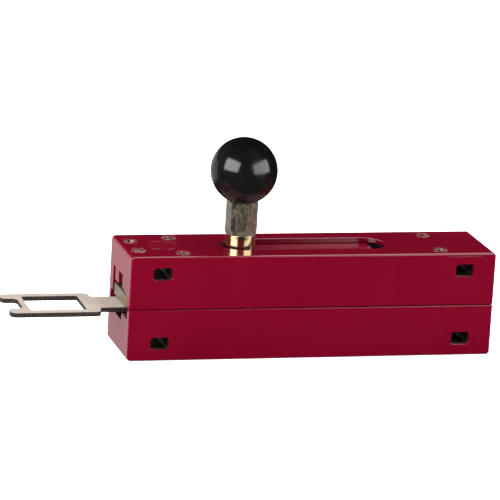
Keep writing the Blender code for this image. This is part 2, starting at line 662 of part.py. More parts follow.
def make_hold_plunger():
    """The spring plunger in the channel, which bears on the nose of the carriage."""
    x = KEY_END + PLUNGER_FROM_KEY_END
    radius = PLUNGER_DIAMETER / 2
    spigot = PLUNGER_SPIGOT_DIAMETER / 2
    foot = BAR_TOP + GAP
    body = WINDOW_TOP + PLUNGER_IN_BORE - foot
    profile = [(0.0, body + PLUNGER_SPIGOT), (spigot, body + PLUNGER_SPIGOT), (spigot, body),
               (radius, body), (radius, PLUNGER_EASE), (radius - PLUNGER_EASE, 0.0), (0.0, 0.0)]
    turned("hold_plunger", profile, (x, GUIDE_CHANNEL_OFFSET, foot), STEEL, steps=20)
    low = foot + body + GAP + SPRING_WIRE / 2
    high = WINDOW_TOP + PLUNGER_BORE_ABOVE_WINDOW - GAP - SPRING_WIRE / 2
    make_coil("plunger_spring", (x, GUIDE_CHANNEL_OFFSET, low), high - low,
              radius - SPRING_WIRE / 2, SPRING_TURNS)


def make_coil(name, foot, height, radius, turns, points_per_turn=12):
    """A coil spring whose wire starts at the foot and climbs evenly."""
    curve = bpy.data.curves.new(name, "CURVE")
    curve.dimensions = "3D"
    curve.bevel_depth = SPRING_WIRE / 2
    curve.bevel_resolution = 1
    curve.use_fill_caps = True
    count = turns * points_per_turn
    spline = curve.splines.new("POLY")
    spline.points.add(count)
    for index, point in enumerate(spline.points):
        angle = 2 * math.pi * index / points_per_turn
        point.co = (radius * math.cos(angle), radius * math.sin(angle), height * index / count, 1.0)
    coil = bpy.data.objects.new(name, curve)
    coil.location = foot
    curve.materials.append(STEEL)
    PARTS.objects.link(coil)


def make_rods():
    """Two ground rods that carry the bolt, from the end guides to the rod holder."""
    for label, side in (("front", -1), ("rear", 1)):
        y = side * ROD_SPACING / 2
        rod(f"guide_rod_{label}", (rod_start(), y, ROD_Z), (HOLDER_FAR - GAP, y, ROD_Z),
            ROD_DIAMETER, STEEL, sides=20)


def make_rod_holder():
    """The nylon block at the far end that holds both rods and the buffer's stem."""
    holder = box("rod_holder", (HOLDER_NEAR, -CAVITY_HALF + GAP, HOLDER_UNDERSIDE),
                 (HOLDER_FAR, CAVITY_HALF - GAP, HOLDER_TOP), BLACK_NYLON)
    for label, side in (("front", -1), ("rear", 1)):
        y = side * ROD_SPACING / 2
        cut(holder, rod(f"holder_bore_{label}", (HOLDER_NEAR - OVERSHOOT, y, ROD_Z),
                        (HOLDER_FAR + OVERSHOOT, y, ROD_Z), ROD_DIAMETER + 2 * GAP))
    cut(holder, rod("holder_stem_hole", (HOLDER_NEAR - OVERSHOOT, 0.0, BAR_MIDDLE_Z),
                    (HOLDER_FAR + OVERSHOOT, 0.0, BAR_MIDDLE_Z), BUFFER_STEM_DIAMETER + 2 * GAP))


def make_end_buffer():
    """The rubber buffer that stops the bar when the bolt is drawn back."""
    stem_end = HOLDER_FAR - BUFFER_STEM_SHORT
    head = BUFFER_DIAMETER / 2
    stem = BUFFER_STEM_DIAMETER / 2
    length = stem_end - BUFFER_NEAR
    profile = [(0.0, length), (stem, length), (stem, BUFFER_LENGTH), (head, BUFFER_LENGTH),
               (head, BUFFER_EASE), (head - BUFFER_EASE, 0.0), (0.0, 0.0)]
    turned("end_buffer", profile, (BUFFER_NEAR, 0.0, BAR_MIDDLE_Z), RUBBER, steps=20,
           tilt=(0.0, math.pi / 2, 0.0))


# ---------------------------------------------------------------- bolt
def make_carriage():
    """The plated carriage: nose, bar, saddle on the rods and turret under the post."""
    nose_near = KEY_END + NOSE_INSET
    carriage = box("bolt_carriage", (nose_near, -NOSE_WIDTH / 2, BAR_UNDERSIDE),
                   (nose_near + NOSE_LENGTH, NOSE_WIDTH / 2, BAR_TOP), ZINC)
    saddle_near = POST_X - SADDLE_LENGTH / 2
    saddle_far = POST_X + SADDLE_LENGTH / 2
    join(carriage,
         box("carriage_bar", (nose_near + NOSE_LENGTH / 2, -BAR_WIDTH / 2, BAR_UNDERSIDE),
             (BAR_FAR, BAR_WIDTH / 2, BAR_TOP)),
         box("carriage_saddle", (saddle_near, -SADDLE_WIDTH / 2, BAR_UNDERSIDE),
             (saddle_far, SADDLE_WIDTH / 2, SADDLE_TOP)),
         rod("carriage_turret", (POST_X, 0.0, BAR_MIDDLE_Z), (POST_X, 0.0, TURRET_TOP),
             TURRET_DIAMETER, sides=24))
    bore_depth = BUSH_LENGTH + 2 * GAP
    for label, side in (("front", -1), ("rear", 1)):
        y = side * ROD_SPACING / 2
        cut(carriage,
            rod(f"saddle_bore_{label}", (saddle_near - OVERSHOOT, y, ROD_Z),
                (saddle_far + OVERSHOOT, y, ROD_Z), ROD_DIAMETER + 2 * SLIDING_GAP),
            rod(f"near_bush_seat_{label}", (saddle_near - OVERSHOOT, y, ROD_Z),
                (saddle_near + bore_depth, y, ROD_Z), BUSH_DIAMETER + 2 * GAP),
            rod(f"far_bush_seat_{label}", (saddle_far - bore_depth, y, ROD_Z),
                (saddle_far + OVERSHOOT, y, ROD_Z), BUSH_DIAMETER + 2 * GAP))
    cut(carriage, upright_hole("post_hole", POST_X, 0.0, BAR_UNDERSIDE - OVERSHOOT,
                               TURRET_TOP + OVERSHOOT, POST_SHANK_DIAMETER + 2 * GAP))
    for index, distance in enumerate(KEY_SCREW_FROM_KEY_END, 1):
        cut(carriage, upright_hole(f"carriage_screw_hole_{index}", KEY_END + distance, 0.0,
                                   BAR_UNDERSIDE - OVERSHOOT, BAR_TOP - KEY_SCREW_ROOF,
                                   KEY_SCREW_DIAMETER + 2 * GAP))
    return [carriage]


def make_bushes():
    """Four sintered bushes, two on each rod, at the ends of the saddle."""
    bushes = []
    places = [(end, side) for end in (-1, 1) for side in (-1, 1)]
    for index, (end, side) in enumerate(places, 1):
        middle = POST_X + end * (SADDLE_LENGTH / 2 - GAP - BUSH_LENGTH / 2)
        y = side * ROD_SPACING / 2
        bush = rod(f"slide_bush_{index}", (middle - BUSH_LENGTH / 2, y, ROD_Z),
                   (middle + BUSH_LENGTH / 2, y, ROD_Z), BUSH_DIAMETER, BRONZE)
        cut(bush, rod(f"bush_bore_{index}", (middle - BUSH_LENGTH, y, ROD_Z),
                      (middle + BUSH_LENGTH, y, ROD_Z), ROD_DIAMETER + 2 * GAP))
        bushes.append(bush)
    return bushes


def make_post():
    """The handle post: shank, round neck, hexagon and the stud for the knob."""
    shank = POST_SHANK_DIAMETER / 2
    neck = NECK_DIAMETER / 2
    foot = BAR_UNDERSIDE - WASHER_THICKNESS - NUT_HEIGHT - 3 * GAP - POST_PAST_NUT
    stud_top = BALL_UNDERSIDE + INSERT_DEPTH - STUD_END_CLEARANCE
    profile = [(0.0, stud_top), (shank - POST_EASE, stud_top), (shank, stud_top - POST_EASE),
               (shank, HEX_UNDERSIDE), (neck - POST_EASE, HEX_UNDERSIDE),
               (neck, HEX_UNDERSIDE - POST_EASE), (neck, NECK_UNDERSIDE),
               (shank, NECK_UNDERSIDE), (shank, foot + POST_EASE), (shank - POST_EASE, foot),
               (0.0, foot)]
    post = turned("handle_post", profile, (POST_X, 0.0, 0.0), YELLOW_ZINC, steps=28)
    hexagon_bar = hexagon("post_hexagon", (POST_X, 0.0, HEX_UNDERSIDE - POST_EASE),
                          (POST_X, 0.0, HEX_TOP), HEX_ACROSS_FLATS, turn=HEX_TURN)
    join(post, hexagon_bar)
    return [post]


def make_post_fixings():
    """The washer and nut that hold the post under the carriage."""
    bore = POST_SHANK_DIAMETER + 2 * GAP
    washer_top = BAR_UNDERSIDE - GAP
    washer_low = washer_top - WASHER_THICKNESS
    nut_top = washer_low - GAP
    nut_low = nut_top - NUT_HEIGHT
    washer = rod("post_washer", (POST_X, 0.0, washer_low), (POST_X, 0.0, washer_top),
                 WASHER_DIAMETER, ZINC)
    nut = hexagon("post_nut", (POST_X, 0.0, nut_low), (POST_X, 0.0, nut_top), NUT_ACROSS_FLATS,
                  ZINC)
    for piece, low, high in ((washer, washer_low, washer_top), (nut, nut_low, nut_top)):
        cut(piece, upright_hole(piece.name + "_bore", POST_X, 0.0, low - OVERSHOOT,
                                high + OVERSHOOT, bore))
    return [washer, nut]


def make_knob():
    """The ball knob, with a flat underside and a blind bore, and its threaded brass insert."""
    stud_clearance = POST_SHANK_DIAMETER / 2 + GAP
    insert_radius = stud_clearance + INSERT_WALL
    bore_radius = insert_radius + GAP
    bore_depth = INSERT_DEPTH + 2 * GAP
    drop = BALL_CENTRE_Z - BALL_UNDERSIDE
    last_angle = math.acos(-drop / BALL_RADIUS)
    rings = 15
    profile = [(BALL_RADIUS * math.sin(last_angle * i / rings),
                drop + BALL_RADIUS * math.cos(last_angle * i / rings)) for i in range(rings + 1)]
    profile += [(bore_radius, 0.0), (bore_radius, bore_depth), (0.0, bore_depth)]
    knob = turned("ball_knob", profile, (POST_X, 0.0, BALL_UNDERSIDE), BLACK_RESIN, steps=30)
    insert = rod("knob_insert", (POST_X, 0.0, BALL_UNDERSIDE + GAP),
                 (POST_X, 0.0, BALL_UNDERSIDE + INSERT_DEPTH), 2 * insert_radius, BRASS)
    cut(insert, upright_hole("insert_bore", POST_X, 0.0, BALL_UNDERSIDE - OVERSHOOT,
                             BALL_UNDERSIDE + INSERT_DEPTH + OVERSHOOT, 2 * stud_clearance))
    return [knob, insert]


def make_shutter():
    """The thin plate that rides with the post and closes the deck slot."""
    near = KEY_END + SHUTTER_FROM_KEY_END
    middle = (near + SHUTTER_FAR) / 2
    outline = slot_outline(SHUTTER_FAR - near, 2 * SHUTTER_HALF_WIDTH, SHUTTER_CORNER_RADIUS)
    shutter = plate("shutter", [outline], SHUTTER_UNDERSIDE, SHUTTER_TOP, RED,
                    centre=(middle, 0.0))
    cut(shutter, upright_hole("shutter_hole", POST_X, 0.0, SHUTTER_UNDERSIDE - OVERSHOOT,
                              SHUTTER_TOP + OVERSHOOT, NECK_DIAMETER + 2 * GAP, sides=32))
    return [shutter]


def make_shutter_rails():
    """Two nylon rails screwed under the deck, whose ledges carry the shutter."""
    near = KEY_END + RAIL_FROM_END
    far = FAR_END - RAIL_FROM_END
    ledge_top = SHUTTER_UNDERSIDE - GAP
    for label, side in (("front", -1), ("rear", 1)):
        inner = side * RAIL_INNER
        outer = side * RAIL_OUTER
        rail = box(f"shutter_rail_{label}",
                   (near, min(inner, outer), SHUTTER_TOP - RAIL_HEIGHT),
                   (far, max(inner, outer), SHUTTER_TOP), BLACK_NYLON)
        lip = side * (RAIL_INNER - RAIL_LEDGE)
        root = side * (RAIL_INNER + RAIL_OUTER) / 2
        join(rail, box(f"rail_ledge_{label}", (near, min(lip, root), ledge_top - RAIL_LEDGE),
                       (far, max(lip, root), ledge_top)))
        for index, (x, y) in enumerate(DECK_SCREW_POSITIONS, 1):
            if y * side > 0:
                cut(rail, upright_hole(f"rail_hole_{index}", x, y,
                                       SHUTTER_TOP - RAIL_HEIGHT - OVERSHOOT,
                                       SHUTTER_TOP + OVERSHOOT, DECK_SCREW_DIAMETER + 2 * GAP))


# ---------------------------------------------------------------- interlock key
def make_key():
    """The flat key: two prongs, a square window, shoulders and a neck under the carriage."""
    tip = KEY_END - KEY_REACH
    notch_floor = tip + KEY_NOTCH_DEPTH
    shoulder = KEY_END - KEY_SHOULDER_REACH
    tail = KEY_END + KEY_TAIL
    half = KEY_HALF_WIDTH
    notch = KEY_NOTCH_WIDTH / 2
    neck = KEY_NECK_WIDTH / 2
    large = KEY_CORNER_RADIUS
    small = KEY_NOTCH_RADIUS
    lower_side = [(notch_floor, -notch, small), (tip, -notch, small), (tip, -half, large),
                  (shoulder, -half, large), (shoulder, -neck, small), (tail, -neck, small)]
    upper_side = [(x, -y, radius) for x, y, radius in reversed(lower_side)]
    outline = rounded_outline(lower_side + upper_side)
    window_near = tip + KEY_WINDOW_FROM_TIP
    window_far = window_near + KEY_WINDOW_LENGTH
    reach = half - KEY_LEG_WIDTH
    corners = [(window_near, -reach), (window_far, -reach), (window_far, reach),
               (window_near, reach)]
    window = rounded_outline([(x, y, KEY_WINDOW_RADIUS) for x, y in corners])
    key = plate("interlock_key", [outline, window], KEY_UNDERSIDE, KEY_TOP, ZINC)
    for index, distance in enumerate(KEY_SCREW_FROM_KEY_END, 1):
        cut(key, upright_hole(f"key_hole_{index}", KEY_END + distance, 0.0,
                              KEY_UNDERSIDE - OVERSHOOT, KEY_TOP + OVERSHOOT,
                              KEY_SCREW_DIAMETER + 2 * GAP))
    return [key]


def make_key_screws():
    """Two screws from below that hold the key to the nose of the carriage."""
    head_face = KEY_UNDERSIDE - GAP - KEY_SCREW_HEAD_HEIGHT
    length = BAR_TOP - KEY_SCREW_ROOF - GAP - head_face - KEY_SCREW_HEAD_HEIGHT
    return [screw(f"key_screw_{index}", (KEY_END + distance, 0.0, head_face),
                  KEY_SCREW_HEAD_DIAMETER, KEY_SCREW_HEAD_HEIGHT, KEY_SCREW_DIAMETER, length,
                  KEY_SCREW_SOCKET, ZINC, upwards=True)
            for index, distance in enumerate(KEY_SCREW_FROM_KEY_END, 1)]


# ---------------------------------------------------------------- assembly
def carry(empty, pieces):
    """Parent pieces to an empty and leave them where they are."""
    for piece in pieces:
        piece.parent = empty
        piece.matrix_parent_inverse = Matrix.Translation(empty.location).inverted()


def main():
    """Build every sub-part and hang the moving ones on the bolt's axis."""
    make_upper_housing()
    make_lower_housing()
    make_mounting_sleeves()
    make_deck_screws()
    make_closing_screws()
    make_blank_disc()
    make_end_guides()
    make_hold_plunger()
    make_rods()
    make_rod_holder()
    make_end_buffer()
    make_shutter_rails()

    bolt_axis = bpy.data.objects.new("bolt_axis", None)
    bolt_axis.location = (POST_X, 0.0, ROD_Z)
    PARTS.objects.link(bolt_axis)
    carry(bolt_axis, make_carriage())
    carry(bolt_axis, make_bushes())
    carry(bolt_axis, make_post())
    carry(bolt_axis, make_post_fixings())
    carry(bolt_axis, make_knob())
    carry(bolt_axis, make_shutter())
    carry(bolt_axis, make_key())
    carry(bolt_axis, make_key_screws())


main()
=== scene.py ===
# %% [markdown]
# # A slide bolt for a guard door
#
# The object is a hand-operated bolt for the door of a machine guard. A red, two-part housing carries
# a slide, a black ball knob on a six-sided post moves it, and a flat steel key stands out of the left
# end. The mechanics already exist as plain solids. This lesson gives them their finished surfaces.
# Everything here is in metres, with Z up, X along the housing and the front towards minus Y.

# %% Load the working model
import json
import math

import bmesh
import bpy
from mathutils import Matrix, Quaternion, Vector


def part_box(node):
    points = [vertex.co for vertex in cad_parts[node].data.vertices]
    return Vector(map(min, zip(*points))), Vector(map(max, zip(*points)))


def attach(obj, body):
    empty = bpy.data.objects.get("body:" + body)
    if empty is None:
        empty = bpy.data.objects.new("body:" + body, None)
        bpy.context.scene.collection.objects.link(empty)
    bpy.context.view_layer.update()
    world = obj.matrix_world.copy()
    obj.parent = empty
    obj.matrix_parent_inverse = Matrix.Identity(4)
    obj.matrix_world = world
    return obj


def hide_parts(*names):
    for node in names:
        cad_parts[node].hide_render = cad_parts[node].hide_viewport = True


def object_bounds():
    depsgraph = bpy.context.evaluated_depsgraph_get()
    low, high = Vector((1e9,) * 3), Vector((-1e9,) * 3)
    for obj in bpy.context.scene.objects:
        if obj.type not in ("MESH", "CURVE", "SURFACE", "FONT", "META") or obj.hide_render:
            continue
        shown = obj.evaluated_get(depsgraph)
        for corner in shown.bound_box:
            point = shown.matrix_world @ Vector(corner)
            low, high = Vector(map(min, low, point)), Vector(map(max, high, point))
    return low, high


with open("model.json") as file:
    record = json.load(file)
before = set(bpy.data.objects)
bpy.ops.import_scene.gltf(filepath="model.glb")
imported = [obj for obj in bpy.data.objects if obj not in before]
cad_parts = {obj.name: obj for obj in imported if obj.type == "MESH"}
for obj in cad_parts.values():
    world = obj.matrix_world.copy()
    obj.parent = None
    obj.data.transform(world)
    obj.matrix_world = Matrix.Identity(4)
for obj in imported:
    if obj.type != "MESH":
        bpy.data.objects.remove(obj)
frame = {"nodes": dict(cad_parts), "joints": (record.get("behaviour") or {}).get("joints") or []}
cad_low, cad_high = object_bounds()
print("working model:", [round(size * 1000, 1) for size in cad_high - cad_low], "mm")

# %% [markdown]
# ## The camera
#
# A product picture of a long box looks best from a little to one side and a little above, through a
# long lens, so that the long edges stay nearly parallel. The camera is placed by its bearing, its
# height over the horizon and its distance, and a small roll brings the long edges level.

# %% Camera
CAMERA_BEARING = math.radians(-15.9)
CAMERA_HEIGHT = math.radians(14.5)
CAMERA_ROLL = math.radians(3.4)
CAMERA_DISTANCE = 1.5
CAMERA_LENS = 254.7
CAMERA_SEES_FROM = 0.01
CAMERA_SEES_TO = 50.0
AIM_FROM_MIDDLE = Vector((0.0005, 0.0, -0.0032))

aim = (cad_low + cad_high) / 2 + AIM_FROM_MIDDLE


def direction(bearing, height):
    """Return the way from the object to a point; bearing 0 is in front, and it grows to the right."""
    flat = math.cos(height)
    return Vector((math.sin(bearing) * flat, -math.cos(bearing) * flat, math.sin(height)))


to_camera = direction(CAMERA_BEARING, CAMERA_HEIGHT)
bpy.ops.object.camera_add(location=aim + CAMERA_DISTANCE * to_camera)
camera = bpy.context.object
camera.rotation_mode = "QUATERNION"
camera.rotation_quaternion = (to_camera.to_track_quat("Z", "Y")
                              @ Quaternion((0.0, 0.0, 1.0), CAMERA_ROLL))
camera.data.lens = CAMERA_LENS
camera.data.clip_start, camera.data.clip_end = CAMERA_SEES_FROM, CAMERA_SEES_TO
bpy.context.scene.camera = camera
print("camera at", [round(value, 3) for value in camera.location])

# %% [markdown]
# ## The studio
#
# Glossy paint and a black ball show the lights as much as they show themselves. Two big softboxes
# stand to the left and the right of the camera and draw the two window-like highlights on the ball.
# A low card behind the left end puts a sheen on that end face, and a fill that no mirror sees deepens
# its colour. A light above the back draws the thin bright lines on the rounded upper edges.
#
# The floor is white paper. It glows a little of its own, so that the shadow on it stays faint. It
# lights the object but is left out of its mirror reflections, as if the object stood on a narrow
# stand, so the red stays deep.

# %% Floor
FLOOR_SIZE = 8.0
FLOOR_DROP = 0.0001
FLOOR_GLOW = 0.4
PAPER_WHITE = 0.90
PAPER_ROUGHNESS = 0.9

bpy.ops.mesh.primitive_plane_add(size=FLOOR_SIZE, location=(0.0, 0.0, cad_low.z - FLOOR_DROP))
floor = bpy.context.object
floor.name = "floor"
paper = bpy.data.materials.new("white_paper")
paper.use_nodes = True
paper_shader = paper.node_tree.nodes["Principled BSDF"]
paper_shader.inputs["Base Color"].default_value = (PAPER_WHITE, PAPER_WHITE, PAPER_WHITE, 1.0)
paper_shader.inputs["Roughness"].default_value = PAPER_ROUGHNESS
paper_shader.inputs["Specular IOR Level"].default_value = 0.0
paper_shader.inputs["Emission Color"].default_value = (1.0, 1.0, 1.0, 1.0)
paper_shader.inputs["Emission Strength"].default_value = FLOOR_GLOW
floor.data.materials.append(paper)
floor.visible_glossy = False
print("floor at z =", round(floor.location.z, 4))

# %% [markdown]
# A softbox is an area light that looks at the object. Its bearing and height are in degrees, and its
# brightness is per square metre, so that a bigger box gives more light without looking brighter.

# %% Softboxes
bpy.context.scene.view_settings.view_transform = "Standard"


def softbox(name, bearing, height, distance, width, tall, brightness):
    """Add a rectangular light that faces the object."""
    way = direction(math.radians(bearing), math.radians(height))
    bpy.ops.object.light_add(type="AREA", location=aim + distance * way)
    light = bpy.context.object
    light.name = name
    light.rotation_euler = way.to_track_quat("Z", "Y").to_euler()
    light.data.shape = "RECTANGLE"
    light.data.size = width
    light.data.size_y = tall
    light.data.energy = brightness * width * tall
    return light


left_box = softbox("left_softbox", -63, 25, 0.80, 0.78, 0.50, 21.0)
right_box = softbox("right_softbox", 50, 19, 0.90, 1.06, 0.56, 14.0)
top_box = softbox("top_softbox", 168, 74, 1.00, 1.40, 1.30, 14.0)
end_card = softbox("end_card", -150, -6, 0.80, 0.90, 0.50, 2.0)
end_fill = softbox("end_fill", -100, 5, 0.90, 0.80, 0.80, 28.0)
end_fill.visible_glossy = False
print("lights:", [light.name for light in (left_box, right_box, top_box, end_card, end_fill)])

# %% [markdown]
# The world gives a soft fill from all sides. Mirror reflections see it darker than the diffuse
# surfaces do, and the camera sees it as the same white as the floor.

# %% World
FILL = 0.32
MIRRORED = 0.012
BACKGROUND = 1.0

world = bpy.data.worlds.new("studio")
bpy.context.scene.world = world
world.use_nodes = True
sky = world.node_tree
background = sky.nodes["Background"]
background.inputs["Color"].default_value = (1.0, 1.0, 1.0, 1.0)
rays = sky.nodes.new("ShaderNodeLightPath")
for_mirrors = sky.nodes.new("ShaderNodeMix")
for_mirrors.inputs[2].default_value = FILL
for_mirrors.inputs[3].default_value = MIRRORED
for_camera = sky.nodes.new("ShaderNodeMix")
for_camera.inputs[3].default_value = BACKGROUND
sky.links.new(rays.outputs["Is Glossy Ray"], for_mirrors.inputs[0])
sky.links.new(for_mirrors.outputs[0], for_camera.inputs[2])
sky.links.new(rays.outputs["Is Camera Ray"], for_camera.inputs[0])
sky.links.new(for_camera.outputs[0], background.inputs["Strength"])
print("world fill", FILL)

# %% [markdown]
# ## Writing shader maths as sums
#
# A finish is easier to read as a formula than as a web of nodes. `Wire` stands for one output of a
# node, and adding or multiplying wires adds the Math nodes. `Finish` makes a material and has one
# method that adds any other node.

# %% Wire and Finish


class Wire:
    """A number that changes over a surface. Arithmetic on it adds Math nodes."""

    def __init__(self, finish, socket):
        self.finish = finish
        self.socket = socket

    def maths(self, operation, first, second):
        """Add one Math node."""
        return self.finish.add("Math", {"operation": operation}, {0: first, 1: second})

    def __add__(self, other):
        return self.maths("ADD", self, other)

    __radd__ = __add__

    def __mul__(self, other):
        return self.maths("MULTIPLY", self, other)

    __rmul__ = __mul__

    def __sub__(self, other):
        return self.maths("SUBTRACT", self, other)

    def __rsub__(self, other):
        return self.maths("SUBTRACT", other, self)

    def above(self, level, soft):
        """Return 0 below the level and 1 above it, with a soft step between."""
        return self.finish.add("MapRange", {"interpolation_type": "SMOOTHSTEP"},
                               {"Value": self, "From Min": level - soft, "From Max": level + soft})


class Finish:
    """A Principled material that is built up a formula at a time."""

    def __init__(self, name, **uniform):
        self.material = bpy.data.materials.new(name)
        self.material.use_nodes = True
        self.tree = self.material.node_tree
        self.shader = self.tree.nodes["Principled BSDF"]
        for socket, value in uniform.items():
            self.set(socket.replace("_", " "), value)
        self.place = self.add("TexCoord", output="Object")

    def add(self, kind, settings=None, inputs=None, output=0):
        """Add one node: its settings come first, then the values or wires of its sockets."""
        node = self.tree.nodes.new("ShaderNode" + kind)
        for name, value in (settings or {}).items():
            setattr(node, name, value)
        for name, value in (inputs or {}).items():
            if isinstance(value, Wire):
                self.tree.links.new(value.socket, node.inputs[name])
            else:
                node.inputs[name].default_value = value
        return Wire(self, node.outputs[output])

    def set(self, socket, value):
        """Set a socket of the shader to a value, a colour or a wire."""
        target = self.shader.inputs[socket]
        if isinstance(value, Wire):
            self.tree.links.new(value.socket, target)
        elif isinstance(value, tuple):
            target.default_value = (*value, 1.0)
        else:
            target.default_value = value

    def noise(self, per_metre, detail=2.0, stretch=(1.0, 1.0, 1.0), turn=0.0):
        """Return cloudy noise; stretch squeezes it along an axis and turn swings it round Z."""
        place = self.add("Mapping", None, {"Vector": self.place, "Rotation": (0.0, 0.0, turn),
                                           "Scale": stretch})
        return self.add("TexNoise", None, {"Vector": place, "Scale": per_metre,
                                           "Detail": detail})

    def mix(self, share, first, second):
        """Return a colour between two others, which are colours or wires."""
        pair = [(*side, 1.0) if isinstance(side, tuple) else side for side in (first, second)]
        return self.add("Mix", {"data_type": "RGBA"}, {0: share, 6: pair[0], 7: pair[1]}, output=2)

    def bump(self, height, depth):
        """Let a wire from 0 to 1 raise the surface by up to a depth in metres."""
        self.set("Normal", self.add("Bump", None, {"Strength": 1.0, "Distance": depth,
                                                   "Height": height}))


print("a finish is a name, its uniform values and a few formulas")

# %% [markdown]
# ## Red stove enamel
#
# The housing wears a thick, glossy, deep crimson coat. Up close such a coat has three things that a
# flat colour lacks: a slow drift in depth of colour, the shallow ripple known as orange peel, and a
# few hairlines and specks of dust that dull the gloss. The ripple is far too shallow to see as shape,
# but it softens what the paint mirrors.

# %% Enamel
HAIR_LEVEL = 0.74
DUST_LEVEL = 0.66
PEEL_DEPTH = 0.00001


def hairlines(finish, turn):
    """Return sparse fine lines, about a hundredth as wide as they are long."""
    line = finish.noise(30.0, 1.0, (1.0, 60.0, 60.0), turn)
    patch = finish.noise(70.0, 1.0)
    return line.above(HAIR_LEVEL, 0.02) * patch.above(0.55, 0.1)


def enamel(name, deep, light, gloss):
    """Return glossy paint; gloss is the roughness where the coat is clean."""
    finish = Finish(name, IOR=1.5, Metallic=0.0)
    drift = finish.noise(28.0, 3.0)
    peel = finish.noise(420.0, 1.0)
    dust = finish.noise(2600.0, 1.0).above(DUST_LEVEL, 0.03) * finish.noise(55.0, 2.0)
    hair = hairlines(finish, 0.4) + hairlines(finish, -1.0)
    finish.set("Base Color", finish.mix(drift, deep, light))
    finish.set("Roughness", gloss + 0.04 * drift + 0.12 * dust + 0.08 * hair)
    finish.bump(peel - 0.01 * hair, PEEL_DEPTH)
    return finish.material


HOUSING_RED = (0.085, 0.0001, 0.0068), (0.108, 0.0002, 0.0088)
HARDWARE_RED = (0.080, 0.0003, 0.0070), (0.118, 0.0005, 0.0100)
HOUSING_GLOSS = 0.07
HARDWARE_GLOSS = 0.13

red = enamel("red_enamel", *HOUSING_RED, HOUSING_GLOSS)
red_hardware = enamel("red_enamel_hardware", *HARDWARE_RED, HARDWARE_GLOSS)
print("enamel:", red.name, red_hardware.name)

# %% [markdown]
# The heads of the screws in the deck were painted together with the housing, and screwdrivers and
# grit have worn the coat through in spots. Where the wear mask is 1 the surface is olive zinc metal,
# and where it is 0 it is paint.

# %% Worn paint on the screws
BARE_ZINC = (0.20, 0.18, 0.13), (0.46, 0.42, 0.33)
PAINT_THICKNESS = 0.00002


def worn_paint():
    """Return paint that is worn down to the metal in spots."""
    finish = Finish("worn_red_enamel", IOR=1.5)
    drift = finish.noise(60.0, 2.0)
    wear = finish.noise(620.0, 3.0).above(0.53, 0.05)
    paint = finish.mix(drift, *HARDWARE_RED)
    bare = finish.mix(drift, *BARE_ZINC)
    finish.set("Base Color", finish.mix(wear, paint, bare))
    finish.set("Metallic", wear * 0.9)
    finish.set("Roughness", 0.16 + 0.16 * wear)
    finish.bump(1 - wear, PAINT_THICKNESS)
    return finish.material


screw_red = worn_paint()
print("screws:", screw_red.name)

# %% [markdown]
# ## Black phenolic resin
#
# Ball knobs are moulded from phenolic resin and tumbled to a deep gloss. The only marks are soft
# finger smudges and fine specks, which change the roughness more than the colour.

# %% Phenolic
RESIN_BLACK = (0.0035, 0.0030, 0.0032), (0.0060, 0.0052, 0.0052)
TUMBLED_DEPTH = 0.000004


def phenolic():
    """Return glossy black resin with smudges."""
    finish = Finish("black_phenolic", IOR=1.5, Metallic=0.0)
    smudge = finish.noise(140.0, 4.0).above(0.56, 0.12)
    speck = finish.noise(5200.0, 0.0).above(0.74, 0.02)
    finish.set("Base Color", finish.mix(smudge, *RESIN_BLACK))
    finish.set("Roughness", 0.14 + 0.06 * smudge + 0.10 * speck)
    finish.bump(finish.noise(260.0, 1.0), TUMBLED_DEPTH)
    return finish.material


black_resin = phenolic()
print("resin:", black_resin.name)

# %% [markdown]
# ## Plated and bare metals
#
# Yellow-passivated zinc is a thin film that shines between olive grey and pale gold, in clouds. Drawn
# bar keeps fine lines along its length and turned faces keep fine rings. Flat stampings are rolled, so
# their grain runs one way, and their sheared edges are dull; on the key they are also darkened as
# painted shade. One function covers them all: the grain is noise squeezed hard across one direction.

# %% Metals
ALONG_X = (0.02, 1.0, 1.0)
ALONG_Y = (1.0, 0.02, 1.0)
ALONG_Z = (1.0, 1.0, 0.015)
RINGS_ON_Z = (0.03, 0.03, 1.0)
RINGS_ON_X = (1.0, 0.05, 0.05)
NO_GRAIN = (1.0, 1.0, 1.0)
LINES_PER_METRE = 3600.0
GRAIN_DEPTH = 0.000002


def metal(name, dull, bright, rough, grain):
    """Return bare or plated metal whose grain runs the way that grain says."""
    finish = Finish(name, Metallic=1.0)
    clouds = finish.noise(90.0, 3.0)
    lines = finish.noise(LINES_PER_METRE, 2.0, grain)
    pits = finish.noise(1900.0, 1.0).above(0.76, 0.04)
    finish.set("Base Color", finish.mix(clouds * 0.7 + lines * 0.3, dull, bright))
    finish.set("Roughness", rough + 0.10 * lines + 0.05 * clouds + 0.06 * pits)
    finish.bump(lines - 0.1 * pits, GRAIN_DEPTH)
    return finish.material


nose_zinc = metal("yellow_zinc_carriage", (0.33, 0.30, 0.19), (0.50, 0.46, 0.30), 0.32, ALONG_X)
clear_zinc = metal("clear_zinc", (0.50, 0.51, 0.52), (0.70, 0.71, 0.72), 0.24, RINGS_ON_Z)
dark_zinc = metal("dark_zinc_sleeve", (0.10, 0.10, 0.085), (0.20, 0.19, 0.16), 0.38, ALONG_Y)
ground_steel = metal("ground_steel", (0.52, 0.52, 0.53), (0.66, 0.66, 0.67), 0.16, RINGS_ON_Z)
rod_steel = metal("rod_steel", (0.50, 0.50, 0.51), (0.64, 0.64, 0.65), 0.14, RINGS_ON_X)
bronze = metal("sintered_bronze", (0.34, 0.22, 0.10), (0.52, 0.36, 0.19), 0.42, NO_GRAIN)
brass = metal("insert_brass", (0.58, 0.42, 0.16), (0.74, 0.56, 0.26), 0.22, RINGS_ON_Z)
print("metals:", [material.name for material in (nose_zinc, clear_zinc, dark_zinc, ground_steel,
                                                 rod_steel, bronze, brass)])
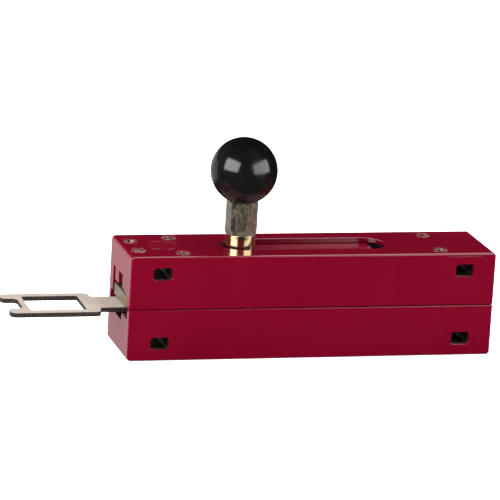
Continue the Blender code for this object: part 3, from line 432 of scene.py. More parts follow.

# %% [markdown]
# The handle post is one turned piece with two finishes under its plating. The six sides are still the
# drawn surface of the bar, dull and streaked from end to end, and their colour is darkened as painted
# shade. Everything below them was turned, so it has rings, and its colour is brightened as a painted
# sheen. The height of a point tells which of the two it has.

# %% Post finish
TURNED_UP_TO = 0.0499
# Both colours are partly painted light: the bar's is darkened as painted shade, the neck's brightened
# as a painted sheen.
DRAWN_BAR_WITH_PAINTED_SHADE = (0.17, 0.155, 0.120), (0.48, 0.43, 0.33)
TURNED_NECK_WITH_PAINTED_SHEEN = (0.52, 0.46, 0.26), (0.78, 0.70, 0.42)
STREAK_DEPTH = 0.000003


def post_finish():
    """Return yellow zinc over hex bar in painted shade above a height, and turned with a painted sheen
    below.
    """
    finish = Finish("yellow_zinc_post", Metallic=1.0)
    height = finish.add("SeparateXYZ", None, {0: finish.place}, output=2)
    drawn_and_shaded = height.above(TURNED_UP_TO, 0.0001)
    streaks = finish.noise(LINES_PER_METRE, 2.0, ALONG_Z)
    rings = finish.noise(LINES_PER_METRE, 2.0, RINGS_ON_Z)
    clouds = finish.noise(160.0, 3.0)
    stains = finish.noise(760.0, 3.0, (1.0, 1.0, 0.6)).above(0.5, 0.22)
    # The mix by height puts painted shade on the six sides and a painted sheen on the turned neck.
    bar_colour_and_shade = finish.mix(streaks * 0.3 + stains * 0.7, *DRAWN_BAR_WITH_PAINTED_SHADE)
    neck_colour_and_sheen = finish.mix(clouds, *TURNED_NECK_WITH_PAINTED_SHEEN)
    finish.set("Base Color", finish.mix(drawn_and_shaded, neck_colour_and_sheen, bar_colour_and_shade))
    finish.set("Roughness", 0.16 + 0.05 * rings + drawn_and_shaded * (0.10 + 0.14 * stains))
    finish.bump(streaks * drawn_and_shaded + 0.5 * rings * (1 - drawn_and_shaded), STREAK_DEPTH)
    return finish.material


post_zinc = post_finish()
print("post:", post_zinc.name)

# %% [markdown]
# The key is the one piece whose faces and edges differ, so it gets its own formula. The normal of a
# surface, read in the piece's own frame, tells a face that looks up or down from a sheared edge. The
# upright edges are dark partly because a sheared edge is dull, and partly as painted shade.

# %% Key steel
ROLLED_FACE = (0.20, 0.165, 0.135), (0.52, 0.455, 0.40)
# The edge colour is partly painted shade on the upright sides.
SHEARED_EDGE_AND_SHADE = (0.030, 0.023, 0.021), (0.13, 0.105, 0.095)
ROLLED_DEPTH = 0.000004


def key_steel():
    """Return steel strip with rolled faces, and sheared edges darkened partly as painted shade."""
    finish = Finish("rolled_key_steel")
    normal = finish.add("SeparateXYZ", None, {0: finish.add("TexCoord", output="Normal")}, output=2)
    flat = (normal * normal).above(0.5, 0.3)
    roll = finish.noise(2600.0, 3.0, ALONG_X)
    shear = finish.noise(2200.0, 2.0, ALONG_Z)
    cloud = finish.noise(110.0, 3.0)
    wear = finish.noise(900.0, 2.0, (0.06, 1.0, 1.0), 0.15).above(0.63, 0.04)
    face = finish.mix(cloud * 0.5 + roll * 0.5, *ROLLED_FACE)
    edge = finish.mix(shear, *SHEARED_EDGE_AND_SHADE)
    # Upright faces take the dark edge colour, which is partly painted shade.
    finish.set("Base Color", finish.mix(flat, edge, face))
    finish.set("Metallic", 0.85 - 0.50 * flat)
    finish.set("Roughness", 0.30 + 0.14 * roll + 0.12 * (1 - flat) - 0.08 * wear)
    finish.bump(roll * flat + shear * (1 - flat) - 0.4 * wear, ROLLED_DEPTH)
    return finish.material


rolled_steel = key_steel()
print("key:", rolled_steel.name)

# %% [markdown]
# ## Nylon and rubber
#
# The moulded inner pieces are dull. Nylon has the fine even texture of a spark-eroded mould, and the
# rubber buffer is coarser, with a dusty grey bloom.

# %% Plastics


def moulded(name, dark, pale, rough, texture_per_metre, depth):
    """Return a dull moulding with an even fine texture."""
    finish = Finish(name, IOR=1.5, Metallic=0.0)
    texture = finish.noise(texture_per_metre, 2.0)
    bloom = finish.noise(120.0, 3.0).above(0.55, 0.15)
    finish.set("Base Color", finish.mix(bloom, dark, pale))
    finish.set("Roughness", rough + 0.15 * texture + 0.08 * bloom)
    finish.bump(texture, depth)
    return finish.material


nylon = moulded("black_nylon", (0.012, 0.012, 0.013), (0.022, 0.022, 0.024), 0.38, 2400.0, 0.00002)
rubber = moulded("black_rubber", (0.010, 0.010, 0.010), (0.035, 0.035, 0.036), 0.70, 1500.0, 0.00004)
print("mouldings:", nylon.name, rubber.name)

# %% [markdown]
# ## Modelling as by hand
#
# A piece starts as a primitive at its real size and place. It is then worked in edit mode: faces or
# edges are picked by where they are, and one operator shapes them. `shape` does one such step,
# `finish_off` applies a modifier, and `carve` takes a cutter away. Every operator acts on all that is
# selected, so each step starts by deselecting everything. Sizes are in millimetres times `MM`. A
# cutter reaches past the surface it opens, and a piece that is joined on starts a little inside. Blocks
# whose faces would lie in one plane are staggered by a hair, because a Boolean takes that better.

# %% Modelling helpers
MM = 0.001
NEAR = 0.00002
OVERLAP = 0.1 * MM
STAGGER = 0.01 * MM
SMOOTH_UNDER = math.radians(32)
SHARP_OVER = math.radians(50)


def choose(piece):
    """Make this the only selected object, and the active one."""
    bpy.ops.object.select_all(action="DESELECT")
    piece.select_set(True)
    bpy.context.view_layer.objects.active = piece


def named(name):
    """Name the new primitive and put its place into its mesh."""
    piece = bpy.context.object
    piece.name = name
    bpy.ops.object.transform_apply(location=True, rotation=True, scale=True)
    return piece


def block(name, low, high):
    """Add a cube between two corners."""
    low, high = Vector(low), Vector(high)
    bpy.ops.object.select_all(action="DESELECT")
    bpy.ops.mesh.primitive_cube_add(size=1.0, location=(low + high) / 2, scale=high - low)
    return named(name)


def bar(name, start, end, radius, sides=64):
    """Add a cylinder between two points."""
    start, end = Vector(start), Vector(end)
    way = (end - start).to_track_quat("Z", "Y").to_euler()
    bpy.ops.object.select_all(action="DESELECT")
    bpy.ops.mesh.primitive_cylinder_add(vertices=sides, radius=radius, depth=(end - start).length,
                                        location=(start + end) / 2, rotation=way)
    return named(name)


def centre_of(element):
    """Return the middle of a vertex, an edge or a face."""
    if isinstance(element, bmesh.types.BMVert):
        return element.co
    return sum((corner.co for corner in element.verts), Vector()) / len(element.verts)


def shape(piece, kind, test, operator, **settings):
    """Pick vertices, edges or faces in edit mode by a test, and run one operator on them."""
    choose(piece)
    bpy.ops.object.mode_set(mode="EDIT")
    bpy.ops.mesh.select_mode(type=kind)
    bpy.ops.mesh.select_all(action="DESELECT")
    mesh = bmesh.from_edit_mesh(piece.data)
    elements = {"VERT": mesh.verts, "EDGE": mesh.edges, "FACE": mesh.faces}[kind]
    picked = [element for element in elements if test(element)]
    for element in picked:
        element.select_set(True)
    bmesh.update_edit_mesh(piece.data)
    if picked:
        operator(**settings)
    bpy.ops.object.mode_set(mode="OBJECT")


def ease(piece, test, radius, steps=3):
    """Round the edges that pass a test."""
    shape(piece, "EDGE", test, bpy.ops.mesh.bevel, offset=radius, segments=steps,
          affect="EDGES", clamp_overlap=True)


def everything(element):
    """Pass every vertex, edge or face."""
    return True


def runs_along(edge, axis):
    """Say whether an edge lies along one axis."""
    run = edge.verts[1].co - edge.verts[0].co
    return all(abs(run[other]) < NEAR for other in range(3) if other != axis)


def sharp(edge):
    """Say whether two faces meet at this edge at a clear angle."""
    return len(edge.link_faces) == 2 and edge.calc_face_angle(0.0) > SHARP_OVER


def at_level(edge, axis, level):
    """Say whether both ends of an edge lie at one level of an axis."""
    return all(abs(corner.co[axis] - level) < NEAR for corner in edge.verts)


def finish_off(piece, kind, **settings):
    """Add a modifier, set it and apply it."""
    choose(piece)
    modifier = piece.modifiers.new(kind.lower(), kind)
    for name, value in settings.items():
        setattr(modifier, name, value)
    bpy.ops.object.modifier_apply(modifier=modifier.name)


def carve(piece, *cutters, operation="DIFFERENCE"):
    """Take cutters away from a piece, or add them to it, and remove them."""
    for cutter in cutters:
        finish_off(piece, "BOOLEAN", operation=operation, object=cutter, solver="EXACT")
        bpy.data.objects.remove(cutter)


def rounded_bar(name, low, high, axis, radius, steps=10):
    """Add a bar along one axis whose section is a rectangle with round corners."""
    piece = block(name, low, high)
    ease(piece, lambda edge: runs_along(edge, axis), radius, steps)
    return piece


def settle(piece, body, slot, material, *nodes):
    """Shade a finished piece, give it its material, hang it on its body and hide the working solids it
    stands for.
    """
    choose(piece)
    bpy.ops.object.shade_smooth_by_angle(angle=SMOOTH_UNDER)
    finish_off(piece, "WEIGHTED_NORMAL", keep_sharp=True)
    piece.data.materials.clear()
    piece.data.materials.append(material)
    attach(piece, body)
    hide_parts(*nodes)
    print(piece.name, "-", len(piece.data.polygons), "faces, rides on", body)


# %% [markdown]
# ## The upper shell
#
# The housing is two die castings that meet at a hairline joint. The ends of the deck are rounded
# most, the long edges less, and the edges at the joint are only eased. One Bevel modifier does all
# of that, because each edge carries its own share of the widest radius.

# %% Shell block
END_RADIUS = 1.6 * MM
LONG_RADIUS = 0.8 * MM
JOINT_RADIUS = 0.45 * MM


def shell_block(name, low, high, outer_z):
    """Add the solid block of one shell; outer_z is the level of its deck or its base."""
    shell = block(name, low, high)
    weights = shell.data.attributes.new("bevel_weight_edge", "FLOAT", "EDGE")
    for edge in shell.data.edges:
        first, second = (shell.data.vertices[index].co for index in edge.vertices)
        if abs(first.z - second.z) > NEAR:
            radius = LONG_RADIUS
        elif abs(first.z - outer_z) > NEAR:
            radius = JOINT_RADIUS
        else:
            radius = END_RADIUS if abs(first.y - second.y) > NEAR else LONG_RADIUS
        weights.data[edge.index].value = radius / END_RADIUS
    finish_off(shell, "BEVEL", limit_method="WEIGHT", width=END_RADIUS, segments=8)
    return shell


upper_low, upper_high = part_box("upper_housing")
lower_low, lower_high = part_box("lower_housing")
upper = shell_block("upper_shell", upper_low, upper_high, upper_high.z)
print("upper shell is", [round(size / MM, 2) for size in upper_high - upper_low], "mm")

# %% [markdown]
# The long slots in the front face take the fixing screws. Behind a short lip each slot widens into the
# seat of a steel sleeve, which is put in from behind. A soft, cast-in lead runs all round each mouth
# and shows as a thin paler line. Slot and seat are cut with bars whose sections have round corners,
# and then the edges at the two mouths are rounded.

# %% Mounting slots
SLOT_LEAD = 0.3 * MM
SLOT_CORNER = 1.4 * MM
SLOT_FIT = 0.3 * MM
SLEEVE_WALL = 0.8 * MM
SLEEVES = [f"mounting_sleeve_{number}" for number in (1, 2, 3, 4)]


def is_mouth(centre, half_x, half_z, face_y):
    """Return a test for the edges of a slot's mouth in a front or back face."""
    def test(edge):
        spot = centre_of(edge)
        inside = (abs(spot.x - centre.x) < half_x + NEAR
                  and abs(spot.z - centre.z) < half_z + NEAR)
        return inside and sharp(edge) and at_level(edge, 1, face_y)
    return test


def cut_mounting_slot(shell, sleeve_node):
    """Cut a slot in the front wall and its sleeve's seat behind it, and round both mouths."""
    low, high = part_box(sleeve_node)
    centre = (low + high) / 2
    slot_half = (high - low) / 2 - Vector((SLEEVE_WALL, 0.0, SLEEVE_WALL))
    seat_half = (high - low) / 2 + Vector((SLOT_FIT, 0.0, SLOT_FIT))
    cutters = []
    for name, half, near, far, corner in (
            ("slot", slot_half, upper_low.y - MM, 0.0, SLOT_CORNER),
            ("seat", seat_half, low.y - SLOT_FIT, upper_high.y + MM,
             SLOT_CORNER + SLEEVE_WALL + SLOT_FIT)):
        cutters.append(rounded_bar(name, (centre.x - half.x, near, centre.z - half.z),
                                   (centre.x + half.x, far, centre.z + half.z), 1, corner, 8))
    carve(shell, *cutters)
    ease(shell, is_mouth(centre, slot_half.x, slot_half.z, upper_low.y), SLOT_LEAD, 4)
    ease(shell, is_mouth(centre, seat_half.x, seat_half.z, upper_high.y), SLOT_LEAD, 4)


upper_sleeves = [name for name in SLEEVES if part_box(name)[0].z > upper_low.z]
lower_sleeves = [name for name in SLEEVES if name not in upper_sleeves]
for name in upper_sleeves:
    cut_mounting_slot(upper, name)
print("slots cut for", upper_sleeves)

# %% [markdown]
# The deck has a long slot with round ends for the post. Its rim is rounded, because a hand passes
# over it. Six shallow seats hold the screw heads, and a wider one takes a blank disc.

# %% Openings in the deck
SLOT_RIM = 0.35 * MM
SEAT_RIM = 0.12 * MM
SCREW_SEAT_DEPTH = 1.4 * MM
DISC_SEAT_DEPTH = 1.1 * MM
HEAD_FIT = 0.3 * MM
DECK_SLOT_HALF = 9.25 * MM
CUT_BELOW_DECK = 5.0 * MM
CUT_ABOVE_DECK = 2.0 * MM
SLOT_BEFORE_POST = 8.4 * MM
SLOT_PAST_POST = 18.4 * MM

travel = frame["joints"][0]["range_m"][1]
deck_z = upper_high.z
post_low, post_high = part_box("handle_post")
post_x = (post_low.x + post_high.x) / 2
slot_near = post_x - SLOT_BEFORE_POST
slot_far = post_x + travel + SLOT_PAST_POST


def ease_deck(x_low, x_high, half_y, radius, centre_y=0.0):
    """Round the sharp edges of the deck inside a rectangle."""
    def test(edge):
        middle = centre_of(edge)
        return (sharp(edge) and at_level(edge, 2, deck_z) and x_low < middle.x < x_high
                and abs(middle.y - centre_y) < half_y)
    ease(upper, test, radius, 3)


carve(upper, rounded_bar("post_slot", (slot_near, -DECK_SLOT_HALF, deck_z - CUT_BELOW_DECK),
                         (slot_far, DECK_SLOT_HALF, deck_z + CUT_ABOVE_DECK), 2,
                         DECK_SLOT_HALF - STAGGER, 24))
ease_deck(slot_near - MM, slot_far + MM, DECK_SLOT_HALF + NEAR, SLOT_RIM)

SCREW_NODES = [f"rail_screw_{number}" for number in (1, 2, 3, 4)]
SCREW_NODES += ["rod_clamp_screw_front", "rod_clamp_screw_rear"]
seats = []
for name in SCREW_NODES + ["blank_disc"]:
    low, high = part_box(name)
    spot = (low + high) / 2
    radius = (high.x - low.x) / 2 + HEAD_FIT
    depth = DISC_SEAT_DEPTH if name == "blank_disc" else SCREW_SEAT_DEPTH
    carve(upper, bar("seat", (spot.x, spot.y, deck_z - depth), (spot.x, spot.y, deck_z + MM), radius))
    seats.append((spot, radius))
for spot, radius in seats:
    ease_deck(spot.x - radius - NEAR, spot.x + radius + NEAR, radius + NEAR, SEAT_RIM, spot.y)
print(len(seats), "seats, slot", round((slot_far - slot_near) / MM, 1), "mm long")

# %% [markdown]
# Inside, the shell is hollow from the thick key-end wall to the far end. The window in that wall lets
# the carriage's nose and the end guides show. Bosses for the closing screws and two ribs for the rod
# holder are added last. They are solid, because their screws never come into sight.

# %% Inside of the upper shell
DECK_THICKNESS = 2.0 * MM
SIDE_WALL = 3.2 * MM
KEY_END_WALL = 8.2 * MM
END_WALL = 3.5 * MM
WINDOW_HALF = 12.4 * MM
WINDOW_BELOW_DECK = 11.3 * MM
RIB = 1.6 * MM
BOSS_RADIUS = 3.1 * MM
WINDOW_EASE = 0.4 * MM
MOUTH_EASE = 0.2 * MM
CLOSING_SCREWS = [f"closing_screw_{number}" for number in (1, 2, 3, 4)]

cavity_y = upper_high.y - SIDE_WALL
inner_near = upper_low.x + KEY_END_WALL
inner_far = upper_high.x - END_WALL
carve(upper, block("hollow", (inner_near, -cavity_y, upper_low.z - MM),
                   (inner_far, cavity_y, deck_z - DECK_THICKNESS)))
window = block("window", (upper_low.x - MM, -WINDOW_HALF, upper_low.z - MM),
               (inner_near + MM, WINDOW_HALF, deck_z - WINDOW_BELOW_DECK))
ease(window, lambda edge: runs_along(edge, 0) and centre_of(edge).z > upper_low.z, WINDOW_EASE, 3)
carve(upper, window)
ease(upper, lambda edge: sharp(edge) and at_level(edge, 0, upper_low.x)
     and abs(centre_of(edge).y) < WINDOW_HALF + NEAR, MOUTH_EASE, 2)


def add_boss(shell, screw_node, low_z, high_z):
    """Add a round boss against the side wall, round the line of a closing screw."""
    low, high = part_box(screw_node)
    spot = (low + high) / 2
    carve(shell, bar("boss", (spot.x, spot.y, low_z), (spot.x, spot.y, high_z), BOSS_RADIUS, 48),
          operation="UNION")


def add_ribs(shell, low_z, high_z):
    """Add the two ribs that keep the rod holder against the far wall."""
    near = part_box("rod_holder")[0].x - SLOT_FIT - RIB
    for side in (-1, 1):
        inner, outer = sorted((side * (cavity_y - RIB), side * (cavity_y + SIDE_WALL / 2)))
        carve(shell, block("rib", (near, inner, low_z), (near + RIB, outer, high_z)),
              operation="UNION")


screw_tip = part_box("closing_screw_1")[1].z
for name in CLOSING_SCREWS:
    add_boss(upper, name, upper_low.z, screw_tip + END_WALL)
add_ribs(upper, upper_low.z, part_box("rod_holder")[1].z)
print("hollow from", round(inner_near, 4), "to", round(inner_far, 4))

# %% [markdown]
# A fine groove runs along the top of the front face near the far end. It is cut with a thin block whose
# inner edges are rounded, and its lower lip is eased so that it catches light as one pale line.

# %% Groove in the front face
GROOVE_LENGTH = 16.0 * MM
GROOVE_HEIGHT = 0.8 * MM
GROOVE_DEPTH = 0.35 * MM
GROOVE_FROM_END = 5.5 * MM
GROOVE_BELOW_DECK = 0.9 * MM
GROOVE_EASE = 0.3 * MM

groove_far = upper_high.x - GROOVE_FROM_END
groove_top = deck_z - GROOVE_BELOW_DECK
groove = block("groove", (groove_far - GROOVE_LENGTH, upper_low.y - MM, groove_top - GROOVE_HEIGHT),
               (groove_far, upper_low.y + GROOVE_DEPTH, groove_top))
ease(groove, lambda edge: at_level(edge, 1, upper_low.y + GROOVE_DEPTH), GROOVE_EASE, 4)
carve(upper, groove)
ease(upper, lambda edge: runs_along(edge, 0) and at_level(edge, 1, upper_low.y)
     and at_level(edge, 2, groove_top - GROOVE_HEIGHT), GROOVE_EASE, 3)
settle(upper, "housing", "housing", red, "upper_housing")

# %% [markdown]
# ## The lower shell
#
# The tray is the plainer half. At the key end its rim has the wide slot that the key slides through,
# with a deeper channel in the middle for the heads of the key's screws. Four counterbores under the
# base hold the closing screws.

# %% Lower shell
KEY_SLOT_HALF = 15.4 * MM
KEY_SLOT_DROP = 1.4 * MM
CHANNEL_HALF = 5.4 * MM
CHANNEL_DROP = 4.4 * MM
BASE_THICKNESS = 2.5 * MM
COUNTERBORE_RADIUS = 2.55 * MM
COUNTERBORE_DEPTH = 3.1 * MM
COUNTERBORE_EASE = 0.3 * MM
KEY_SLOT_EASE = 0.3 * MM
CHANNEL_CORNER = 1.0 * MM

lower = shell_block("lower_shell", lower_low, lower_high, lower_low.z)
rim_z = lower_high.z
key_low, key_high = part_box("interlock_key")
carve(lower, block("tray", (lower_low.x + END_WALL, -cavity_y, BASE_THICKNESS),
                   (inner_far, cavity_y, rim_z + MM)))
key_slot = block("key_slot", (lower_low.x - MM, -KEY_SLOT_HALF, key_low.z - KEY_SLOT_DROP),
                 (lower_low.x + END_WALL + MM, KEY_SLOT_HALF, rim_z + MM))
ease(key_slot, lambda edge: runs_along(edge, 0) and centre_of(edge).z < rim_z, KEY_SLOT_EASE, 3)
channel = block("channel", (lower_low.x - MM, -CHANNEL_HALF, key_low.z - CHANNEL_DROP),
                (lower_low.x + END_WALL + MM, CHANNEL_HALF, rim_z))
ease(channel, lambda edge: runs_along(edge, 0) and centre_of(edge).z < rim_z - MM, CHANNEL_CORNER, 5)
carve(lower, key_slot, channel)
ease(lower, lambda edge: sharp(edge) and at_level(edge, 0, lower_low.x)
     and abs(centre_of(edge).y) < KEY_SLOT_HALF + NEAR, MOUTH_EASE, 2)
add_ribs(lower, BASE_THICKNESS / 2, rim_z)
for name in lower_sleeves:
    cut_mounting_slot(lower, name)
for name in CLOSING_SCREWS:
    add_boss(lower, name, BASE_THICKNESS / 2, rim_z)
    low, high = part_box(name)
    spot = (low + high) / 2
    carve(lower, bar("counterbore", (spot.x, spot.y, -MM), (spot.x, spot.y, COUNTERBORE_DEPTH),
                     COUNTERBORE_RADIUS))
    ease(lower, lambda edge: sharp(edge) and at_level(edge, 2, lower_low.z)
         and (centre_of(edge) - spot).xy.length < COUNTERBORE_RADIUS + NEAR, COUNTERBORE_EASE, 2)
settle(lower, "housing", "housing", red, "lower_housing")

# %% [markdown]
# ## Sleeves in the mounting slots
#
# A steel sleeve lines each slot up to the back face, so that the fixing screws can be tightened hard
# without crushing the casting. It is a bar with round corners, hollowed by a slimmer bar, and its
# inner mouth is rounded.

# %% Sleeves
SLEEVE_RADIUS = SLOT_CORNER + SLEEVE_WALL
SLEEVE_EASE = 0.2 * MM


def make_sleeve(node):
    """Model a sleeve in the space of its node."""
    low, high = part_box(node)
    sleeve = rounded_bar(node.replace("mounting_", "steel_"), low, high, 1, SLEEVE_RADIUS)
    wall = Vector((SLEEVE_WALL, -MM, SLEEVE_WALL))
    carve(sleeve, rounded_bar("bore", low + wall, high - wall, 1, SLEEVE_RADIUS - SLEEVE_WALL))
    ease(sleeve, lambda edge: sharp(edge) and not runs_along(edge, 1), SLEEVE_EASE, 2)
    settle(sleeve, "housing", "sleeve", dark_zinc, node)


for name in SLEEVES:
    make_sleeve(name)

# %% [markdown]
# ## Screws
#
# All screws are low socket heads. One function models a head: a cylinder with a rounded rim, a
# six-sided socket cut into it and a slimmer shank below. The threaded shank is plain here, because
# it is never seen.

# %% Screws
SOCKET_CORNERS = 1 / math.cos(math.pi / 6)
RIM_SHARE = 0.07
SOCKET_DEPTH_SHARE = 0.7
SOCKET_EASE = 0.1 * MM
TIP_CHAMFER = 0.2 * MM


def make_screw(node, name, head_radius, head_height, shank_radius, socket, slot, material, body,
               from_below=False):
    """Model a screw from the top to the foot of its node; socket is its width across flats."""
    low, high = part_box(node)
    spot = (low + high) / 2
    top, foot, down = (low.z, high.z, 1) if from_below else (high.z, low.z, -1)
    under_head = top + down * head_height
    screw = bar(name, (spot.x, spot.y, top), (spot.x, spot.y, under_head), head_radius, 48)
    ease(screw, lambda edge: at_level(edge, 2, top), head_radius * RIM_SHARE, 3)
    shank = bar("shank", (spot.x, spot.y, under_head - down * OVERLAP), (spot.x, spot.y, foot),
                shank_radius, 32)
    ease(shank, lambda edge: at_level(edge, 2, foot), TIP_CHAMFER, 1)
    carve(screw, shank, operation="UNION")
    carve(screw, bar("socket", (spot.x, spot.y, top - down * MM),
                     (spot.x, spot.y, top + down * head_height * SOCKET_DEPTH_SHARE),
                     socket / 2 * SOCKET_CORNERS, 6))
    ease(screw, lambda edge: sharp(edge) and at_level(edge, 2, top)
         and (centre_of(edge) - spot).xy.length < socket, SOCKET_EASE, 1)
    settle(screw, body, slot, material, node)


# Head radius, head height, shank radius and width of the socket across its flats.
RAIL_SIZES = 3.3 * MM, 1.0 * MM, 1.25 * MM, 3.0 * MM
CLAMP_SIZES = 3.3 * MM, 1.0 * MM, 1.5 * MM, 3.0 * MM
CLOSING_SIZES = 2.25 * MM, 2.5 * MM, 1.25 * MM, 2.0 * MM
KEY_SCREW_SIZES = 2.75 * MM, 1.9 * MM, 1.5 * MM, 2.5 * MM
KEY_SCREWS = [f"key_screw_{number}" for number in (1, 2)]

for name in SCREW_NODES:
    make_screw(name, name.replace("rail", "deck") + "_head",
               *(CLAMP_SIZES if "clamp" in name else RAIL_SIZES), "deck_screw", screw_red, "housing")
for name in CLOSING_SCREWS:
    make_screw(name, name + "_zinc", *CLOSING_SIZES, "closing_screw", clear_zinc, "housing",
               from_below=True)
for name in KEY_SCREWS:
    make_screw(name, name + "_zinc", *KEY_SCREW_SIZES, "key", clear_zinc, "bolt", from_below=True)

# %% [markdown]
# ## The blank disc
#
# A round plate fills the seat at the key end of the deck. It has a narrow raised rim round a plain
# sunk field with one concentric ridge, which catches the light as a second fine ring.

# %% Disc
DISC_SIDES = 96
DISC_RIM = 0.7 * MM
DISC_EASE = 0.1 * MM
FIELD_DROP = 0.3 * MM
RIDGE_FROM_RIM = 2.0 * MM
RIDGE_WIDTH = 0.45 * MM
RIDGE_HEIGHT = 0.12 * MM

low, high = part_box("blank_disc")
spot = (low + high) / 2
disc_radius = (high.x - low.x) / 2


def on_top(level):
    """Return a test for the faces that look up at a level."""
    return lambda face: (face.normal.z > 0.9 and len(face.verts) == DISC_SIDES
                         and abs(centre_of(face).z - level) < NEAR)


def on_ridge(edge):
    """Say whether an edge of the sunk field belongs to the ridge."""
    from_middle = (centre_of(edge) - spot).xy.length
    return (at_level(edge, 2, field_z)
            and abs(from_middle - ridge_radius) < RIDGE_WIDTH / 2 + NEAR)


field_z = high.z - FIELD_DROP
ridge_radius = disc_radius - DISC_RIM - RIDGE_FROM_RIM - RIDGE_WIDTH / 2
disc = bar("blank_disc_plate", (spot.x, spot.y, low.z), (spot.x, spot.y, high.z), disc_radius,
           DISC_SIDES)
shape(disc, "FACE", on_top(high.z), bpy.ops.mesh.inset, thickness=DISC_RIM)
shape(disc, "FACE", on_top(high.z), bpy.ops.transform.translate, value=(0.0, 0.0, -FIELD_DROP))
for inset in (RIDGE_FROM_RIM, RIDGE_WIDTH):
    shape(disc, "FACE", on_top(field_z), bpy.ops.mesh.inset, thickness=inset)
shape(disc, "EDGE", on_ridge, bpy.ops.transform.translate, value=(0.0, 0.0, RIDGE_HEIGHT))
ease(disc, lambda edge: sharp(edge) and at_level(edge, 2, high.z), DISC_EASE, 2)
settle(disc, "housing", "disc", red_hardware, "blank_disc")

# %% [markdown]
# ## Key end: guides and hold plunger
#
# Two moulded blocks fill the window over the key and hold the near ends of the rods. The gap between
# them is a channel for a spring plunger, which presses on the carriage and holds the bolt where it
# is left. The plunger is a turned pin with a rounded foot and a slimmer spigot for its spring.

# %% Guides and plunger
ROD_Z = 30.3 * MM
ROD_Y = 7.4 * MM
ROD_RADIUS = 2.0 * MM
GUIDE_EDGE = 0.35 * MM
GUIDE_WALL = 2.2 * MM
PIN_FOOT = 0.9 * MM
SPIGOT_RADIUS = 1.4 * MM
SPIGOT_LENGTH = 2.0 * MM
SIDES = (("front", -1), ("rear", 1))

for label, side in SIDES:
    low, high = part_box(f"end_guide_{label}")
    guide = block(f"guide_block_{label}", low, high)
    ease(guide, everything, GUIDE_EDGE, 3)
    carve(guide, bar("rod_socket", (low.x + GUIDE_WALL, side * ROD_Y, ROD_Z),
                     (high.x + MM, side * ROD_Y, ROD_Z), ROD_RADIUS + SLOT_FIT, 32))
    settle(guide, "housing", "end_guide", red_hardware, f"end_guide_{label}")

low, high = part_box("hold_plunger")
spot = (low + high) / 2
pin_radius = (high.x - low.x) / 2
shoulder_z = high.z - SPIGOT_LENGTH
pin = bar("plunger_pin", (spot.x, spot.y, low.z), (spot.x, spot.y, shoulder_z), pin_radius, 48)
ease(pin, lambda edge: at_level(edge, 2, low.z), PIN_FOOT, 5)
carve(pin, bar("spigot", (spot.x, spot.y, shoulder_z - OVERLAP), (spot.x, spot.y, high.z),
               SPIGOT_RADIUS, 32), operation="UNION")
settle(pin, "housing", "steel", ground_steel, "hold_plunger")

spring = frame["nodes"]["plunger_spring"]
spring.data.materials.clear()
spring.data.materials.append(ground_steel)
print("spring keeps its coil and takes", ground_steel.name)

# %% [markdown]
# ## Rods, holder, buffer and shutter rails
#
# These show only through the slot in the deck, and more of them when the bolt is drawn back. The rods
# are ground bars with chamfered ends. The holder is a nylon block with a hole for each rod, and a
# rubber buffer in its middle stops the carriage.

# %% Rods
ROD_CHAMFER = 0.35 * MM

for label, side in SIDES:
    low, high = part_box(f"guide_rod_{label}")
    rod = bar(f"ground_rod_{label}", (low.x, side * ROD_Y, ROD_Z), (high.x, side * ROD_Y, ROD_Z),
              ROD_RADIUS, 64)
    ease(rod, lambda edge: not runs_along(edge, 0), ROD_CHAMFER, 1)
    settle(rod, "housing", "steel", rod_steel, f"guide_rod_{label}")

# %% Holder and buffer
HOLDER_EDGE = 0.5 * MM
HOLE_EASE = 0.2 * MM
STEM_HOLE_RADIUS = 2.8 * MM
STEM_RADIUS = 2.5 * MM
BUFFER_HEAD_LENGTH = 4.1 * MM
BUFFER_EDGE = 1.4 * MM

low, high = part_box("rod_holder")
buffer_low, buffer_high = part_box("end_buffer")
bar_z = (buffer_low.z + buffer_high.z) / 2
holder = block("nylon_rod_holder", low, high)
ease(holder, everything, HOLDER_EDGE, 3)
for side in (-1, 1):
    carve(holder, bar("rod_hole", (low.x - MM, side * ROD_Y, ROD_Z),
                      (high.x + MM, side * ROD_Y, ROD_Z), ROD_RADIUS + SLOT_FIT, 48))
carve(holder, bar("stem_hole", (low.x - MM, 0.0, bar_z), (high.x + MM, 0.0, bar_z),
                  STEM_HOLE_RADIUS, 48))
ease(holder, lambda edge: sharp(edge) and at_level(edge, 0, low.x), HOLE_EASE, 2)
settle(holder, "housing", "nylon", nylon, "rod_holder")

buffer_radius = (buffer_high.z - buffer_low.z) / 2
head_end = buffer_low.x + BUFFER_HEAD_LENGTH
buffer = bar("rubber_buffer", (buffer_low.x, 0.0, bar_z), (head_end, 0.0, bar_z), buffer_radius, 64)
ease(buffer, lambda edge: at_level(edge, 0, buffer_low.x), BUFFER_EDGE, 6)
carve(buffer, bar("stem", (head_end - OVERLAP, 0.0, bar_z), (buffer_high.x, 0.0, bar_z),
                  STEM_RADIUS, 48), operation="UNION")
settle(buffer, "housing", "buffer", rubber, "end_buffer")

# %% [markdown]
# A piece that is already the right shape can start from a copy of its own working solid. That solid
# is loose triangles, so the copy is first merged by distance, its flat faces are dissolved into
# whole ones, and only then are its edges rounded.

# %% Rails from their working solids
MERGE_WITHIN = 0.002 * MM
FLAT_WITHIN = math.radians(1)
RAIL_EDGE = 0.25 * MM


def eased_copy(node, name, radius):
    """Copy a working solid and round its edges."""
    copy = frame["nodes"][node].copy()
    copy.data = copy.data.copy()
    bpy.context.scene.collection.objects.link(copy)
    copy.parent = None
    copy.name = name
    for label in [label for label in copy.keys() if label.startswith("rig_")]:
        del copy[label]
    shape(copy, "VERT", everything, bpy.ops.mesh.remove_doubles, threshold=MERGE_WITHIN)
    shape(copy, "VERT", everything, bpy.ops.mesh.dissolve_limited, angle_limit=FLAT_WITHIN)
    ease(copy, sharp, radius, 2)
    return copy


